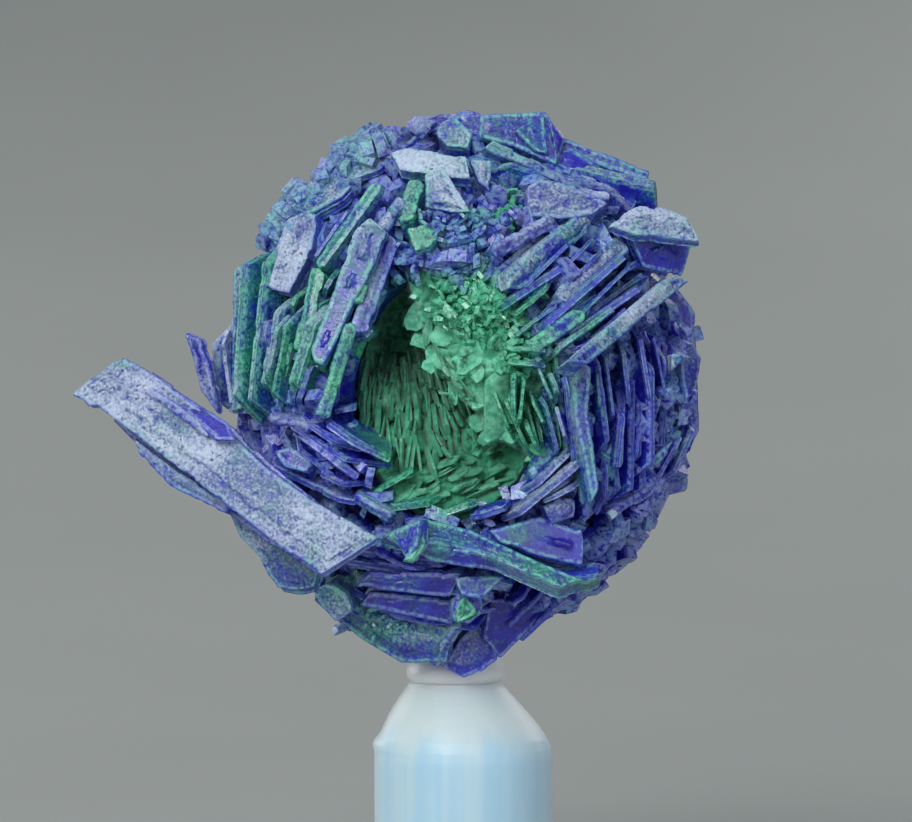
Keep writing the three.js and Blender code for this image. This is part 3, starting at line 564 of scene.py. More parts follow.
def blade(place, sides, thick, spacing, finish, seed, on_edge=False):
    """One crystal: a flat cross-section with bevelled edges carried along the length between two tips.

    Its half-width follows the outline, which small chips notch. Its broad faces step down near the outline in
    one to three terraces, its narrow sides have grooves along the length like the pages of a book, and fine
    noise, pits and streaks along the length move every point along its normal.
    """
    centre, along, wide, normal = place
    upper, lower = sides
    tip, end = upper[0, 0], upper[-1, 0]
    near = np.array([0.04, 0.12, 0.26])
    even = np.linspace(tip, end, max(7, int((end - tip) / spacing)))
    x = np.unique(np.concatenate([even, tip + near, end - near]))
    ring_x = x[1:-1, None]
    rng = np.random.default_rng(seed)
    high = np.interp(ring_x, upper[:, 0], upper[:, 1])
    low = np.interp(ring_x, lower[:, 0], lower[:, 1])
    spots = np.concatenate([ring_x, np.full_like(ring_x, 3.7 * seed), np.zeros_like(ring_x)], axis=1)
    chips = CHIP * smooth(noise(spots, 1.2, 11), 0.4, 0.46) + RAGGED * noise(spots, 0.2, 12)
    other = SMALL_CHIP * smooth(noise(spots, 1.4, 15), 0.4, 0.46) + RAGGED * noise(spots, 0.22, 16)
    room = 0.25 * (high - low)
    high = high - np.minimum(chips[:, None], room)
    low = low + np.minimum(other[:, None], room)
    middle, half = (high + low) / 2, np.maximum((high - low) / 2, 0.02)

    width = upper[:, 1].max() - lower[:, 1].min()
    lead, columns = (1.6, 0.5) if on_edge else (1.0, 1.0)
    across = 1 - 2 * np.linspace(0, 1, max(6, int(columns * width / spacing))) ** lead
    outer_count = max(4, int(thick / (0.7 * spacing if on_edge else 1.6 * spacing)))
    inner_count = 2 if on_edge else outer_count
    outer_up = np.linspace(1, -1, outer_count + 2)[1:-1]
    inner_up = np.linspace(-1, 1, inner_count + 2)[1:-1]
    faces = np.zeros(len(across))
    section_y = np.concatenate([across[::-1], np.ones(outer_count), across, -np.ones(inner_count)])[None]
    section_z = np.concatenate([faces + 1, outer_up, faces - 1, inner_up])[None]
    on_side = np.concatenate([faces, np.ones(outer_count), faces, np.ones(inner_count)])[None]

    from_tip = np.minimum(ring_x - tip, end - ring_x)
    inset = np.minimum(half * (1 - np.abs(section_y)), from_tip) * (1 - on_side)
    bevel = min(0.18 * thick, BEVEL)
    end_ease = np.clip(from_tip / min(0.3 * thick, 0.25), 0, 1)
    thin = np.sqrt(1 - (1 - end_ease) ** 2)
    drop = bevel * (1 - np.clip(inset / bevel, 0, 1))
    y = middle + half * section_y
    flat = stacked(ring_x, y, 5.1 * seed)
    for reach in rng.uniform(0.2, 1.0, rng.integers(1, 4)) * min(0.5 * width, 1.6):
        step = TERRACE * min(thick, 1.2)
        beyond = smooth(inset + 0.4 * noise(flat, 1.1, 13) - reach, 0, 0.06)
        drop = drop + step * (1 - beyond) * (1 - on_side)
    body = np.where(on_side > 0, 0.9 * (thick / 2 - bevel), np.maximum(thick / 2 - drop, 0.2 * thick))
    z = section_z * body * thin

    points = centre + ring_x[..., None] * along + y[..., None] * wide + z[..., None] * normal
    normals = grid_normals(points)
    pages = stacked(0.35 * ring_x, 4.5 * z, 1.3 * seed)
    streaks = stacked(0.25 * ring_x, 2.8 * y, 2.3 * seed)
    relief = 0.006 * noise(points, 0.9, 1) + 0.012 * noise(points, 0.36, 2) + 0.014 * noise(points, 0.18, 3)
    relief += STREAK * noise(streaks, 1.0, 17) * (1 - on_side)
    relief -= PAGE_GROOVE * on_side * (0.5 + 0.5 * noise(pages, 1.0, 14)) * min(1, thick)
    pits = smooth(noise(points, 0.34, 4), 0.4, 0.7) * (1 - on_side)
    face_coat, edge_coat = finish["coat"]
    relief -= PIT * pits * face_coat
    points = points + normals * (relief * np.minimum(1, thin + 0.2))[..., None]

    # rim is 1 on the narrow sides and falls off over a face from its outline; besides the edge powder, the
    # material paints highlight lines and a lighter blue along it.
    edge = np.where(on_side > 0, 1.0, np.exp(-((inset / EDGE_REACH) ** 2)))
    rim = edge - 0.6 * on_side * smooth(np.abs(section_z), 0.4, 0.62)
    coat = face_coat + (edge_coat - face_coat) * edge - 0.3 * pits * face_coat
    coat = coat + 0.16 * noise(streaks, 1.6, 18) * (1 - on_side)
    growth = growth_values(points, grid_normals(points), coat, finish["verd"], finish["hue"], rim)
    tips = [centre + t * along + np.interp(t, upper[:, 0], upper[:, 1]) * wide for t in (tip, end)]
    return closed_rings(points, growth, tips[0], tips[1])


def book(row, seed, spacing):
    """Blades side by side on edge: each is turned and tilted a little from the last, and their outer edges
    follow the ball's curve."""
    rng = np.random.default_rng(seed)
    facing = outward(row["yaw"], row["pitch"])
    spine = across_face(facing, row["yaw"], row["turn"])
    across = np.cross(facing, spine)
    blades = []
    for i in range(row["count"]):
        k = i - (row["count"] - 1) / 2
        length, width, thick = np.array([row["length"], row["depth"], row["thick"]]) * rng.uniform(
            (0.5, 0.9, 0.5), (1.14, 1.08, 1.7))
        lift = rng.uniform(-1.5, 0.2)
        shift = k * row["slide"] + 0.14 * row["length"] * rng.uniform(-1, 1)
        outer = turned(facing, spine, -k * row["splay"] + rng.uniform(-4, 4))
        along = turned(unit(spine - outer * outer.dot(spine)), outer, k * row["fan"] + rng.uniform(-5, 5))
        drop = 0.5 * k * k * row["step"] * math.radians(row["splay"])
        centre = np.array(row["at"]) + k * row["step"] * across + shift * along
        centre = centre + (lift - drop - width / 2) * outer
        place = (centre, along, outer, np.cross(along, outer))
        sides = outline(length, width, rng)
        blades.append(blade(place, sides, thick, spacing, row, seed * 100 + i, on_edge=True))
    return blades


def sheets(place, corners, row, seed, spacing):
    """The sheets that a crystal's thickness is made of. The front one has the outline, the rest nearly so."""
    front, along, wide, normal = place
    rng = np.random.default_rng(seed)
    count = row["layers"]
    thick = row["deep"] / count
    parts = []
    for layer in range(count):
        size, slide, mesh = 1.0, np.zeros(2), spacing
        if layer > 0:
            size, slide, mesh = rng.uniform(0.93, 1.04), rng.uniform(-0.35, 0.35, 2), PLAIN
        centre = front - normal * thick * (layer + 0.5)
        sides = chains(corners * size + slide)
        parts.append(blade((centre, along, wide, normal), sides, 1.05 * thick, mesh, row, seed * 10 + layer))
    return parts


def face(row, seed):
    """A crystal with its broad face to the viewer, its outline where the photograph shows it."""
    normal = outward(row["yaw"], row["pitch"])
    outer = pixels(row["corners"])
    middle = np.mean(outer, axis=0)
    ground = ball_front(middle) if row["gauge"] == "lift" else 0.0
    point = seen_at(middle, ground + row["reach"])
    flat = np.array([seen_on_plane(corner, point, normal) for corner in outer]) - point
    east = across_face(normal, row["yaw"], 0)
    north = np.cross(normal, east)
    spread = np.stack([flat @ east, flat @ north], axis=-1)
    longest = np.linalg.svd(spread - spread.mean(axis=0))[2][0]
    along = longest[0] * east + longest[1] * north
    wide = np.cross(normal, along)
    corners = np.stack([flat @ along, flat @ wide], axis=-1)
    beside = np.roll(corners, -1, axis=0)
    if np.sum(corners[:, 0] * beside[:, 1] - corners[:, 1] * beside[:, 0]) < 0:
        corners = corners[::-1]
    return sheets((point, along, wide, normal), corners, row, seed, FINE)


def lath(row, seed):
    """A long narrow crystal between two pixels: the wide ones show a face, the narrow ones stand on edge."""
    rng = np.random.default_rng(seed)
    start, end = (seen_at(pixel, ball_front(pixel) + row["lift"]) for pixel in pixels(row["ends"]))
    along = unit(end - start)
    facing = unit(unit((start + end) / BALL ** 2) + np.array([0.0, -1.2, 0.0]))
    facing = unit(facing - along * along.dot(facing))
    facing = turned(facing, along, rng.uniform(-16, 16))
    wide = np.cross(facing, along)
    length = np.linalg.norm(end - start)
    if row["wide"] > FACE_WIDTH:
        upper, lower = outline(length, row["wide"], rng)
        corners = np.concatenate([lower, upper[::-1][1:-1]])
        return sheets(((start + end) / 2, along, wide, facing), corners, row, seed, FINE)
    centre = (start + end) / 2 - facing * row["deep"] / 2
    place = (centre, along, facing, np.cross(along, facing))
    return [blade(place, outline(length, row["deep"], rng), row["wide"], FINE, row, seed, on_edge=True)]


def small_crystals(centres, outer, lengths, coat, verd, hue, rng):
    """Many small six-sided tablets at once: one tablet's corners, stretched, turned and set at each place."""
    count = len(centres)
    spin = rng.normal(size=(count, 3))
    along = np.cross(outer, spin)
    along /= np.linalg.norm(along, axis=1, keepdims=True)
    wide = outer + 0.45 * rng.normal(size=(count, 3))
    wide -= along * np.sum(wide * along, axis=1, keepdims=True)
    wide /= np.linalg.norm(wide, axis=1, keepdims=True)
    normal = np.cross(along, wide)
    hexagon = np.array([[-0.5, -0.15], [-0.2, -0.5], [0.3, -0.5], [0.5, 0.1], [0.2, 0.5], [-0.35, 0.5]])
    corners = np.concatenate([np.column_stack([hexagon, np.full(6, up)]) for up in (0.5, -0.5)])
    shares = [np.ones(count), rng.uniform(0.5, 0.9, count), rng.uniform(0.2, 0.45, count)]
    sizes = lengths[:, None] * np.column_stack(shares)
    local = corners[None] * sizes[:, None] * rng.uniform(0.8, 1.2, (count, 12, 1))
    points = (centres[:, None] + local[..., :1] * along[:, None] + local[..., 1:2] * wide[:, None]
              + local[..., 2:] * normal[:, None])
    first = 12 * np.arange(count)[:, None, None]
    ring = np.arange(6)
    beside = (ring + 1) % 6
    walls = np.stack([ring, ring + 6, beside + 6, beside], axis=-1)
    caps = np.array([[0, 1, 2, 3], [0, 3, 4, 5], [9, 8, 7, 6], [11, 10, 9, 6]])
    quads = (first + np.concatenate([walls, caps])[None]).reshape(-1, 4)
    # The outer half of each tablet gets a high edge value, so the material paints its highlight lines and
    # lighter blue there.
    rim = np.broadcast_to(local[..., 1] > 0, (count, 12)).astype(float)
    growth = growth_values(points, np.broadcast_to(outer[:, None], points.shape), coat, verd, hue, 0.6 * rim)
    return points.reshape(-1, 3), quads, np.zeros((0, 3), int), growth.reshape(-1, 4)


def gap_crystals(count, shell, front, rng):
    """Small crystals all round the ball, between two shares of its size and no nearer the viewer than front,
    none in the hollow's mouth."""
    outer = rng.normal(size=(count, 3))
    outer /= np.linalg.norm(outer, axis=1, keepdims=True)
    centres = outer * BALL * rng.uniform(*shell, (count, 1))
    kept = (hollow_nearness(centres) < 0.3) & (centres[:, 1] > -front)
    centres, outer = centres[kept], outer[kept]
    lengths = rng.uniform(0.9, 3.0, len(centres))
    return small_crystals(centres, outer, lengths, 0.3, 0.06, 0.2, rng)


def druse_patch(row, rng):
    """Small crystals gathered round one place, or on the ball round it."""
    centres = np.array(row["at"]) + np.array(row["spread"]) * rng.normal(size=(row["count"], 3)) * 0.6
    outer = centres / BALL
    outer /= np.linalg.norm(outer, axis=1, keepdims=True)
    if "shell" in row:
        centres = outer * BALL * rng.uniform(*row["shell"], (row["count"], 1))
    lengths = row["length"] * rng.uniform(0.5, 1.3, row["count"])
    return small_crystals(centres, outer, lengths, row["coat"], row["verd"], row["hue"], rng)


def core():
    """The intergrown heart: an ellipsoid with lumps, pressed back where the hollow is."""
    down = np.linspace(0, math.pi, 72)[1:-1]
    pole, around = np.meshgrid(down, circle(120), indexing="ij")
    ball = stacked(np.sin(pole) * np.cos(around), np.sin(pole) * np.sin(around), np.cos(pole))
    points = ball * BALL * CORE_SHARE
    points = points * (1 + 0.03 * noise(points, 3.0, 21) + 0.02 * noise(points, 1.0, 22))[..., None]
    level = 1 - ((points[..., 0] - HOLLOW_AT[0]) / 6.6) ** 2 - ((points[..., 2] - HOLLOW_AT[2]) / 8.6) ** 2
    wall = HOLLOW_AT[1] + HOLLOW[1] * np.sqrt(np.clip(level, 0, 1))
    points[..., 1] = np.where(level > 0, np.maximum(points[..., 1], wall + 1.0), points[..., 1])
    flat = np.zeros(points.shape[:2])
    growth = growth_values(points, -ball, flat + 0.12, 0.05, 0.1, flat)
    top = np.array([0, 0, BALL[2] * CORE_SHARE])
    return closed_rings(points[:, ::-1], growth[:, ::-1], top, -top)


# Malachite


TONGUE_EDGE_Z = np.array([-6.5, -5.0, -4.3, -3.8, -2.8, -1.9, -1.4, 0.0, 1.4, 2.4, 5.9, 8.0])
TONGUE_EDGE_X = np.array([6.0, 4.6, 3.2, 1.9, 1.1, 0.4, -0.6, -1.7, -2.7, -3.2, -4.0, -4.4])
RIB_FAN = np.array([-4.8, 8.4])  # the point that the ribs spread from, across and up
RIB_ANGLE = 0.066
CAVE = np.array([-4.4, 3.8])
BOWL = np.array([3.0, -6.2])  # a smooth dip at the lower right
LINING = np.array([6.9, 9.4])  # half-width and half-height
TONGUE_FACET = ((2.3, 0.9), (2.3, -3.8))  # the ends of its one flat facet
RIB_COUNT = 130
FLAKE_COUNT = 40
LEDGE_COUNT = 44


def lining_relief(x, z):
    """How far the lining stands towards -Y, how much of it is tongue, and how high its grains stand.

    A slope comes forward from top to bottom, with a cave at the upper left and ribs that fan out below it. To
    the right of a lobed edge a tongue stands out, made of rounded lobes. Grains cover all of it.
    """
    flat = stacked(x, 0.0, z)
    reach = np.hypot((x - HOLLOW_AT[0]) / LINING[0], (z - HOLLOW_AT[2]) / LINING[1])
    base = 4.8 + 4.2 * smooth(-z, -2.0, 8.5)
    base = base + 1.4 * smooth(reach, 0.75, 0.95) - 3.0 * smooth(reach, 0.9, 1.0)
    base -= 1.9 * np.exp(-((x - CAVE[0]) ** 2 + 0.6 * (z - CAVE[1]) ** 2) / 4.5)
    base -= 1.2 * np.exp(-((x - BOWL[0]) ** 2 + (z - BOWL[1]) ** 2) / 3.5)
    edge = 0.8 * (x - np.interp(z, TONGUE_EDGE_Z, TONGUE_EDGE_X))
    edge = edge + 0.5 * noise(flat, 1.7, 31) + 0.25 * noise(flat, 0.7, 32)
    tongue = smooth(edge, -0.05, 0.4)
    angle = np.arctan2(x - RIB_FAN[0], RIB_FAN[1] - z) + 0.05 * noise(flat, 1.4, 33)
    ribs = np.abs(np.sin(math.pi * angle / RIB_ANGLE)) ** 0.7
    rib_share = smooth(RIB_FAN[1] - z, 5.6, 7.4) * smooth(z, -7.0, -5.0) * smooth(-x, -2.6, -1.0)
    base += 0.75 * rib_share * ribs * (0.7 + 0.5 * noise(flat, 1.1, 34))
    ledges = np.abs(np.sin(math.pi * (z - 0.3 * x + 0.5 * noise(flat, 1.8, 35)) / 0.9))
    base += 0.4 * ledges * smooth(-z, 5.0, 6.5)
    lobes = 1.0 * (0.55 - cells(flat, 2.1, 36)) + 0.5 * (0.5 - cells(flat, 0.9, 37))
    level = 9.4 + 0.55 * np.clip(edge, 0, 3.5) + lobes
    relief = base + (np.maximum(level, base) - base) * tongue
    lumps = 0.5 - cells(flat, 0.95, 40)
    grains = 0.45 - cells(flat, 0.42, 38)
    rough = 0.6 * lumps + 0.3 * grains + 0.08 * noise(flat, 0.2, 39)
    return relief + rough * (1 - 0.3 * tongue), tongue, 0.5 + 0.45 * lumps + 0.55 * grains


def lining():
    """The malachite crust: a disc of rings whose front is the relief and whose back closes on the hollow."""
    reach = np.concatenate([np.linspace(0, 1, 96)[1:], np.linspace(1, 0, 8)[1:-1]])
    front = np.arange(len(reach)) < 95
    around = circle(300)
    r, a = np.meshgrid(reach, around, indexing="ij")
    wobble = 1 + 0.05 * np.sin(3 * a + 1) + 0.04 * np.sin(7 * a)
    x = HOLLOW_AT[0] + LINING[0] * r * wobble * np.cos(a)
    z = HOLLOW_AT[2] + LINING[1] * r * wobble * np.sin(a)
    relief, tongue, grain = lining_relief(x, z)
    wall = -HOLLOW_AT[1] - HOLLOW[1] * np.sqrt(np.clip(1.02 - r * r, 0, 1))
    y = -np.where(front[:, None], relief, np.minimum(wall, relief - 0.4))
    points = stacked(x, y, z)
    # Painted shade: the crust's colour darkens deeper back in the hollow; this value is 1 in front and 0 deep
    # in.
    out_of_shade = smooth(-(y + 3.4), 0, 5)
    growth = stacked(tongue, out_of_shade, grain, 1.0)
    middle = np.array([HOLLOW_AT[0]]), np.array([HOLLOW_AT[2]])
    front_pole = np.array([middle[0][0], -lining_relief(*middle)[0][0], middle[1][0]])
    back_pole = np.array([middle[0][0], -wall.min(), middle[1][0]])
    return closed_rings(points[:, ::-1], growth[:, ::-1], front_pole, back_pole)


def lining_depth(x, z):
    """The lining's front at one place."""
    return lining_relief(np.array([x]), np.array([z]))[0][0]


def malachite_blade(start, end, deep, thick, normal, tongue, seed):
    """A small malachite lath or flake between two points, its flat side across normal."""
    along = unit(end - start)
    normal = unit(normal - along * along.dot(normal))
    rng = np.random.default_rng(seed)
    place = ((start + end) / 2, along, np.cross(normal, along), normal)
    finish = dict(coat=(0.0, 0.0), verd=0.0, hue=0.0)
    sides = outline(np.linalg.norm(end - start), deep, rng)
    points, quads, fans, growth = blade(place, sides, thick, PLAIN, finish, seed)
    # Painted shade: as on the lining, the colour darkens deeper back in the hollow.
    growth = stacked(tongue, smooth(-(points[:, 1] + 3.4), 0, 5), 0.5 + 0.5 * noise(points, 1.1, 42), 1.0)
    return points, quads, fans, growth


def hollow_ribs(rng):
    """Thin ribs on edge that hang below the cave and spread like a fan."""
    parts = []
    for i in range(RIB_COUNT):
        angle = rng.uniform(-0.3, 0.5)
        reach = rng.uniform(6.0, 13.0)
        length = rng.uniform(0.9, 2.8)
        ends = [RIB_FAN + r * np.array([math.sin(angle + turn), -math.cos(angle + turn)])
                for r, turn in ((reach, 0.0), (reach + length, rng.uniform(-0.05, 0.05)))]
        start, end = (np.array([x, -lining_depth(x, z) - rng.uniform(0.0, 0.5), z]) for x, z in ends)
        across = np.array([math.cos(angle), rng.uniform(-0.3, 0.3), math.sin(angle)])
        thick, tongue = rng.uniform(0.2, 0.5), 0.2 * rng.random()
        parts.append(malachite_blade(start, end, 1.3, thick, across, tongue, 700 + i))
    return parts


def hollow_ledges(rng):
    """Thin broken ledges that rise to the right across the hollow's foot, and a pale facet on the tongue."""
    parts = []
    for i in range(LEDGE_COUNT):
        x = rng.uniform(-5.4, 3.0)
        z = -6.6 + 0.3 * x + rng.uniform(-1.2, 1.7)
        middle = np.array([x, -lining_depth(x, z) - rng.uniform(0.0, 0.3), z])
        half = rng.uniform(0.4, 1.2) * unit(np.array([1.0, rng.uniform(-0.3, 0.1), rng.normal(0.38, 0.16)]))
        normal = np.array([-0.2, -0.35, 1.0]) + 0.2 * rng.normal(size=3)
        thick, tongue = rng.uniform(0.14, 0.3), 0.6 * rng.random()
        parts.append(malachite_blade(middle - half, middle + half, 1.4, thick, normal, tongue, 1100 + i))
    start, end = (np.array([x, -lining_depth(x, z) - 0.4, z]) for x, z in TONGUE_FACET)
    parts.append(malachite_blade(start, end, 1.9, 0.9, np.array([0.35, -1.0, 0.1]), 1.0, 1200))
    return parts


def tongue_flakes(rng):
    """Flakes that cover the tongue and overlap at its edge."""
    parts = []
    for i in range(FLAKE_COUNT):
        z = rng.uniform(-5.0, 5.4)
        x = np.interp(z, TONGUE_EDGE_Z, TONGUE_EDGE_X) + 3.2 * rng.random() ** 1.4
        middle = np.array([x, -lining_depth(x, z) - rng.uniform(0.0, 0.3), z])
        turn = rng.normal(0.7, 0.7)
        half = rng.uniform(0.5, 1.2) * np.array([math.cos(turn), rng.uniform(-0.3, 0.3), math.sin(turn)])
        normal = np.array([-0.35, -1.0, 0.4]) + 0.55 * rng.normal(size=3)
        deep, thick, tongue = rng.uniform(0.8, 1.7), rng.uniform(0.14, 0.3), 0.6 + 0.4 * rng.random()
        parts.append(malachite_blade(middle - half, middle + half, deep, thick, normal, tongue, 900 + i))
    return parts


# Post and putty


POST_RADIUS = (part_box("post")[1].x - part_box("post")[0].x) / 2 / MM
POST_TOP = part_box("post")[1].z / MM
NECK_LEAN = -0.55  # the neck stands a little left of the post's axis


# The post's profile from its foot up: radius as a share of the post's, and height in millimetres
POST_PROFILE = np.array([
    (0.0, 0.0), (0.5, 0.0), (0.91, 0.0), (0.97, 0.15), (1.0, 0.5), (1.0, 4.0), (1.0, 8.0), (1.0, 10.8),
    (0.985, 11.5), (0.95, 12.2), (0.88, 13.0), (0.79, 13.9), (0.7, 14.7), (0.6, 15.5), (0.55, 15.9),
    (0.535, 16.1), (0.5, 16.2), (0.3, 16.2),
])


def post():
    """The post: its profile turned round the axis, its neck leaning left and its wall not quite true."""
    radius, height = POST_PROFILE.T
    along = np.linspace(0, 1, 120)
    knots = np.linspace(0, 1, len(radius))
    r = POST_RADIUS * np.interp(along, knots, radius)[1:, None]
    z = np.minimum(np.interp(along, knots, height)[1:, None], POST_TOP + 0.3)
    a = circle(96)[None]
    lean = NECK_LEAN * smooth(z, 11, 16)
    x, y = r * np.cos(a), r * np.sin(a)
    points = stacked(x + lean, y, z)
    wave = 0.05 * noise(points * np.array([1, 1, 0.25]), 2.4, 51) * smooth(r, 2, 3) * smooth(z, 0.3, 2)
    burr = 0.28 * np.exp(-((z - 11.9) / 0.5) ** 2 - ((np.mod(a, 2 * math.pi) - math.pi) / 0.5) ** 2)
    outer = stacked(np.cos(a), np.sin(a), np.zeros_like(z))
    points = points + outer * (wave + burr)[..., None]
    growth = np.ones(points.shape[:2] + (4,))
    foot = np.array([0.0, 0.0, 0.0])
    top = np.array([NECK_LEAN, 0.0, points[-1, :, 2].mean()])
    return closed_rings(points[:, ::-1], growth, foot, top)


def putty():
    """The putty: a rolled bead round the neck, pinched up on the right and pressed down in front."""
    along = np.linspace(0, math.pi, 40)[1:-1][:, None]
    a = circle(110)[None]
    spot = stacked(np.cos(a), np.sin(a), 0.5 * along)
    bulge = 3.45 + 0.16 * noise(spot, 0.7, 61) + 0.12 * np.cos(a - math.pi)
    rise = 0.95 * np.exp(-((np.cos(a) - 1) / 0.35) ** 2) - 0.75 * np.exp(-((a - 1.5 * math.pi) / 0.32) ** 2)
    height = 1.15 + 0.12 * noise(spot, 0.6, 62) + rise * smooth(-np.cos(along), -0.2, 0.9)
    r = bulge * np.sin(along) ** 0.45
    z = POST_TOP + 1.0 - height * np.cos(along) + 0.06 * noise(spot, 0.3, 63)
    points = stacked(r * np.cos(a) + NECK_LEAN, r * np.sin(a), z)
    growth = np.ones(points.shape[:2] + (4,))
    low = np.array([NECK_LEAN, 0.0, points[0, :, 2].mean()])
    high = np.array([NECK_LEAN, 0.0, points[-1, :, 2].mean()])
    return closed_rings(points[:, ::-1], growth, low, high)


# Materials


def rgb(code):
    """A colour code from a picture editor as the linear values that light is worked out with."""
    parts = [int(code[i:i + 2], 16) / 255 for i in (1, 3, 5)]
    return (*(p / 12.92 if p <= 0.04045 else ((p + 0.055) / 1.055) ** 2.4 for p in parts), 1.0)


def add(tree, kind, inputs=None, **settings):
    """A node with its settings, and its inputs set to constants or linked to other nodes' outputs."""
    made = tree.nodes.new("ShaderNode" + kind)
    for key, value in settings.items():
        setattr(made, key, value)
    for key, value in (inputs or {}).items():
        if isinstance(value, bpy.types.NodeSocket):
            tree.links.new(value, made.inputs[key])
        else:
            made.inputs[key].default_value = value
    return made


def new_tree(name):
    """An empty material, its node tree and the place on the object."""
    material = bpy.data.materials.new(name)
    material.use_nodes = True
    material.node_tree.nodes.clear()
    return material, material.node_tree, add(material.node_tree, "TexCoord").outputs["Object"]


def dress(tree, inputs, height, strength, depth):
    """The surface: its inputs over a bump that stands depth millimetres high."""
    bump = add(tree, "Bump", {"Height": height, "Strength": strength, "Distance": depth * MM})
    surface = add(tree, "BsdfPrincipled", dict(inputs, Normal=bump.outputs[0]))
    add(tree, "OutputMaterial", {"Surface": surface.outputs[0]})


def speckle(tree, where, size, detail=2.0):
    """Noise from 0 to 1 whose spots are about the given size in millimetres."""
    inputs = {"Vector": where, "Scale": 1 / (size * MM), "Detail": detail}
    return add(tree, "TexNoise", inputs).outputs["Fac"]


def between(tree, factor, low, high):
    """The factor rescaled from low to high onto 0 to 1, along an S-curve."""
    inputs = {"Value": factor, "From Min": low, "From Max": high}
    return add(tree, "MapRange", inputs, interpolation_type="SMOOTHSTEP").outputs[0]


def blend(tree, factor, first, second):
    """The first colour turning into the second as the factor goes from 0 to 1. A colour may be a code."""
    first, second = (rgb(colour) if isinstance(colour, str) else colour for colour in (first, second))
    return add(tree, "Mix", {0: factor, 6: first, 7: second}, data_type="RGBA").outputs[2]


def times(tree, first, second):
    """Two values multiplied."""
    return add(tree, "Math", {0: first, 1: second}, operation="MULTIPLY").outputs[0]


def plus(tree, value, share, base):
    """A share of a value, on top of a base."""
    return add(tree, "Math", {0: value, 1: share, 2: base}, operation="MULTIPLY_ADD").outputs[0]


def minus(tree, first, second):
    """The second value taken from the first."""
    return add(tree, "Math", {0: first, 1: second}, operation="SUBTRACT").outputs[0]


def azurite_material():
    """Azurite, deep blue and glassy where fresh, under a pale grainy coat on edges and upper faces.

    The coat's grains break up at its border, so the eye sees powder on crystal rather than two paints. Some of
    it is green, as where azurite turns to malachite. Thin bright lines along the edges and a lighter fresh
    blue towards them are painted highlights.
    """
    material, tree, where = new_tree("azurite_crystal_powder_coated")
    growth = add(tree, "Attribute", attribute_name="growth")
    parts = add(tree, "SeparateColor", {"Color": growth.outputs["Color"]})
    coat, verd, rim = parts.outputs[0], parts.outputs[1], parts.outputs[2]
    hue = growth.outputs["Alpha"]
    fine = speckle(tree, where, 0.2, 4.0)
    grain = speckle(tree, where, 0.36)
    patch = speckle(tree, where, 0.8)
    cloud = speckle(tree, where, 1.3)

    fresh = blend(tree, between(tree, cloud, 0.35, 0.65), "#180f96", "#2829ba")
    # Painted highlight: the fresh blue turns lighter towards the edges.
    fresh = blend(tree, between(tree, rim, 0.2, 1.0), fresh, "#3743c2")
    fresh = blend(tree, between(tree, verd, 0.05, 0.5), fresh, "#0f4f66")
    tint = plus(tree, cloud, 1.2, minus(tree, hue, 0.6))
    tint = plus(tree, verd, 0.8, tint)
    powder = blend(tree, tint, "#4a5899", "#347480")
    whiter = plus(tree, fine, 1.0, coat)
    powder = blend(tree, between(tree, whiter, 0.88, 1.56), powder, "#c3d1ea")
    amount = plus(tree, fine, 0.9, coat)
    amount = plus(tree, grain, 0.4, amount)
    amount = plus(tree, patch, 0.6, amount)
    cover = between(tree, amount, 1.15, 1.6)
    coated = blend(tree, cover, fresh, powder)
    green = blend(tree, between(tree, fine, 0.35, 0.65), "#16785a", "#57c49a")
    green_amount = plus(tree, grain, 0.9, verd)
    green_cover = between(tree, green_amount, 0.45, 1.15)
    colour = blend(tree, times(tree, green_cover, 0.85), coated, green)

    # Painted highlight: thin bright lines along the crystal edges and the corners of their narrow sides, over
    # part of the grain.
    edge_highlight = times(tree, times(tree, rim, 4.0), minus(tree, 1.0, rim))
    edge_highlight = times(tree, between(tree, edge_highlight, 0.2, 0.95), between(tree, grain, 0.3, 0.6))
    edge_highlight_colour = blend(tree, tint, "#a4b2ee", "#86dcd2")
    edge_highlight_colour = blend(tree, green_cover, edge_highlight_colour, "#74e0b0")
    colour = blend(tree, times(tree, edge_highlight, 0.55), colour, edge_highlight_colour)

    spots = add(tree, "TexVoronoi", {"Vector": where, "Scale": 1 / (0.5 * MM)}).outputs["Distance"]
    clusters = between(tree, speckle(tree, where, 1.9), 0.47, 0.6)
    spots = plus(tree, fine, 0.9, spots)
    holes = times(tree, between(tree, spots, 0.74, 0.56), clusters)
    holes = times(tree, holes, between(tree, coat, 0.35, 0.85))
    colour = blend(tree, times(tree, holes, 0.8), colour, "#252c6a")

    rough = add(tree, "MapRange", {"Value": cover, "To Min": 0.22, "To Max": 0.7}).outputs[0]
    height = plus(tree, grain, 0.3, fine)
    height = minus(tree, height, holes)
    dress(tree, {"Base Color": colour, "Roughness": rough, "IOR": 1.75}, height, 0.9, 0.06)
    return material


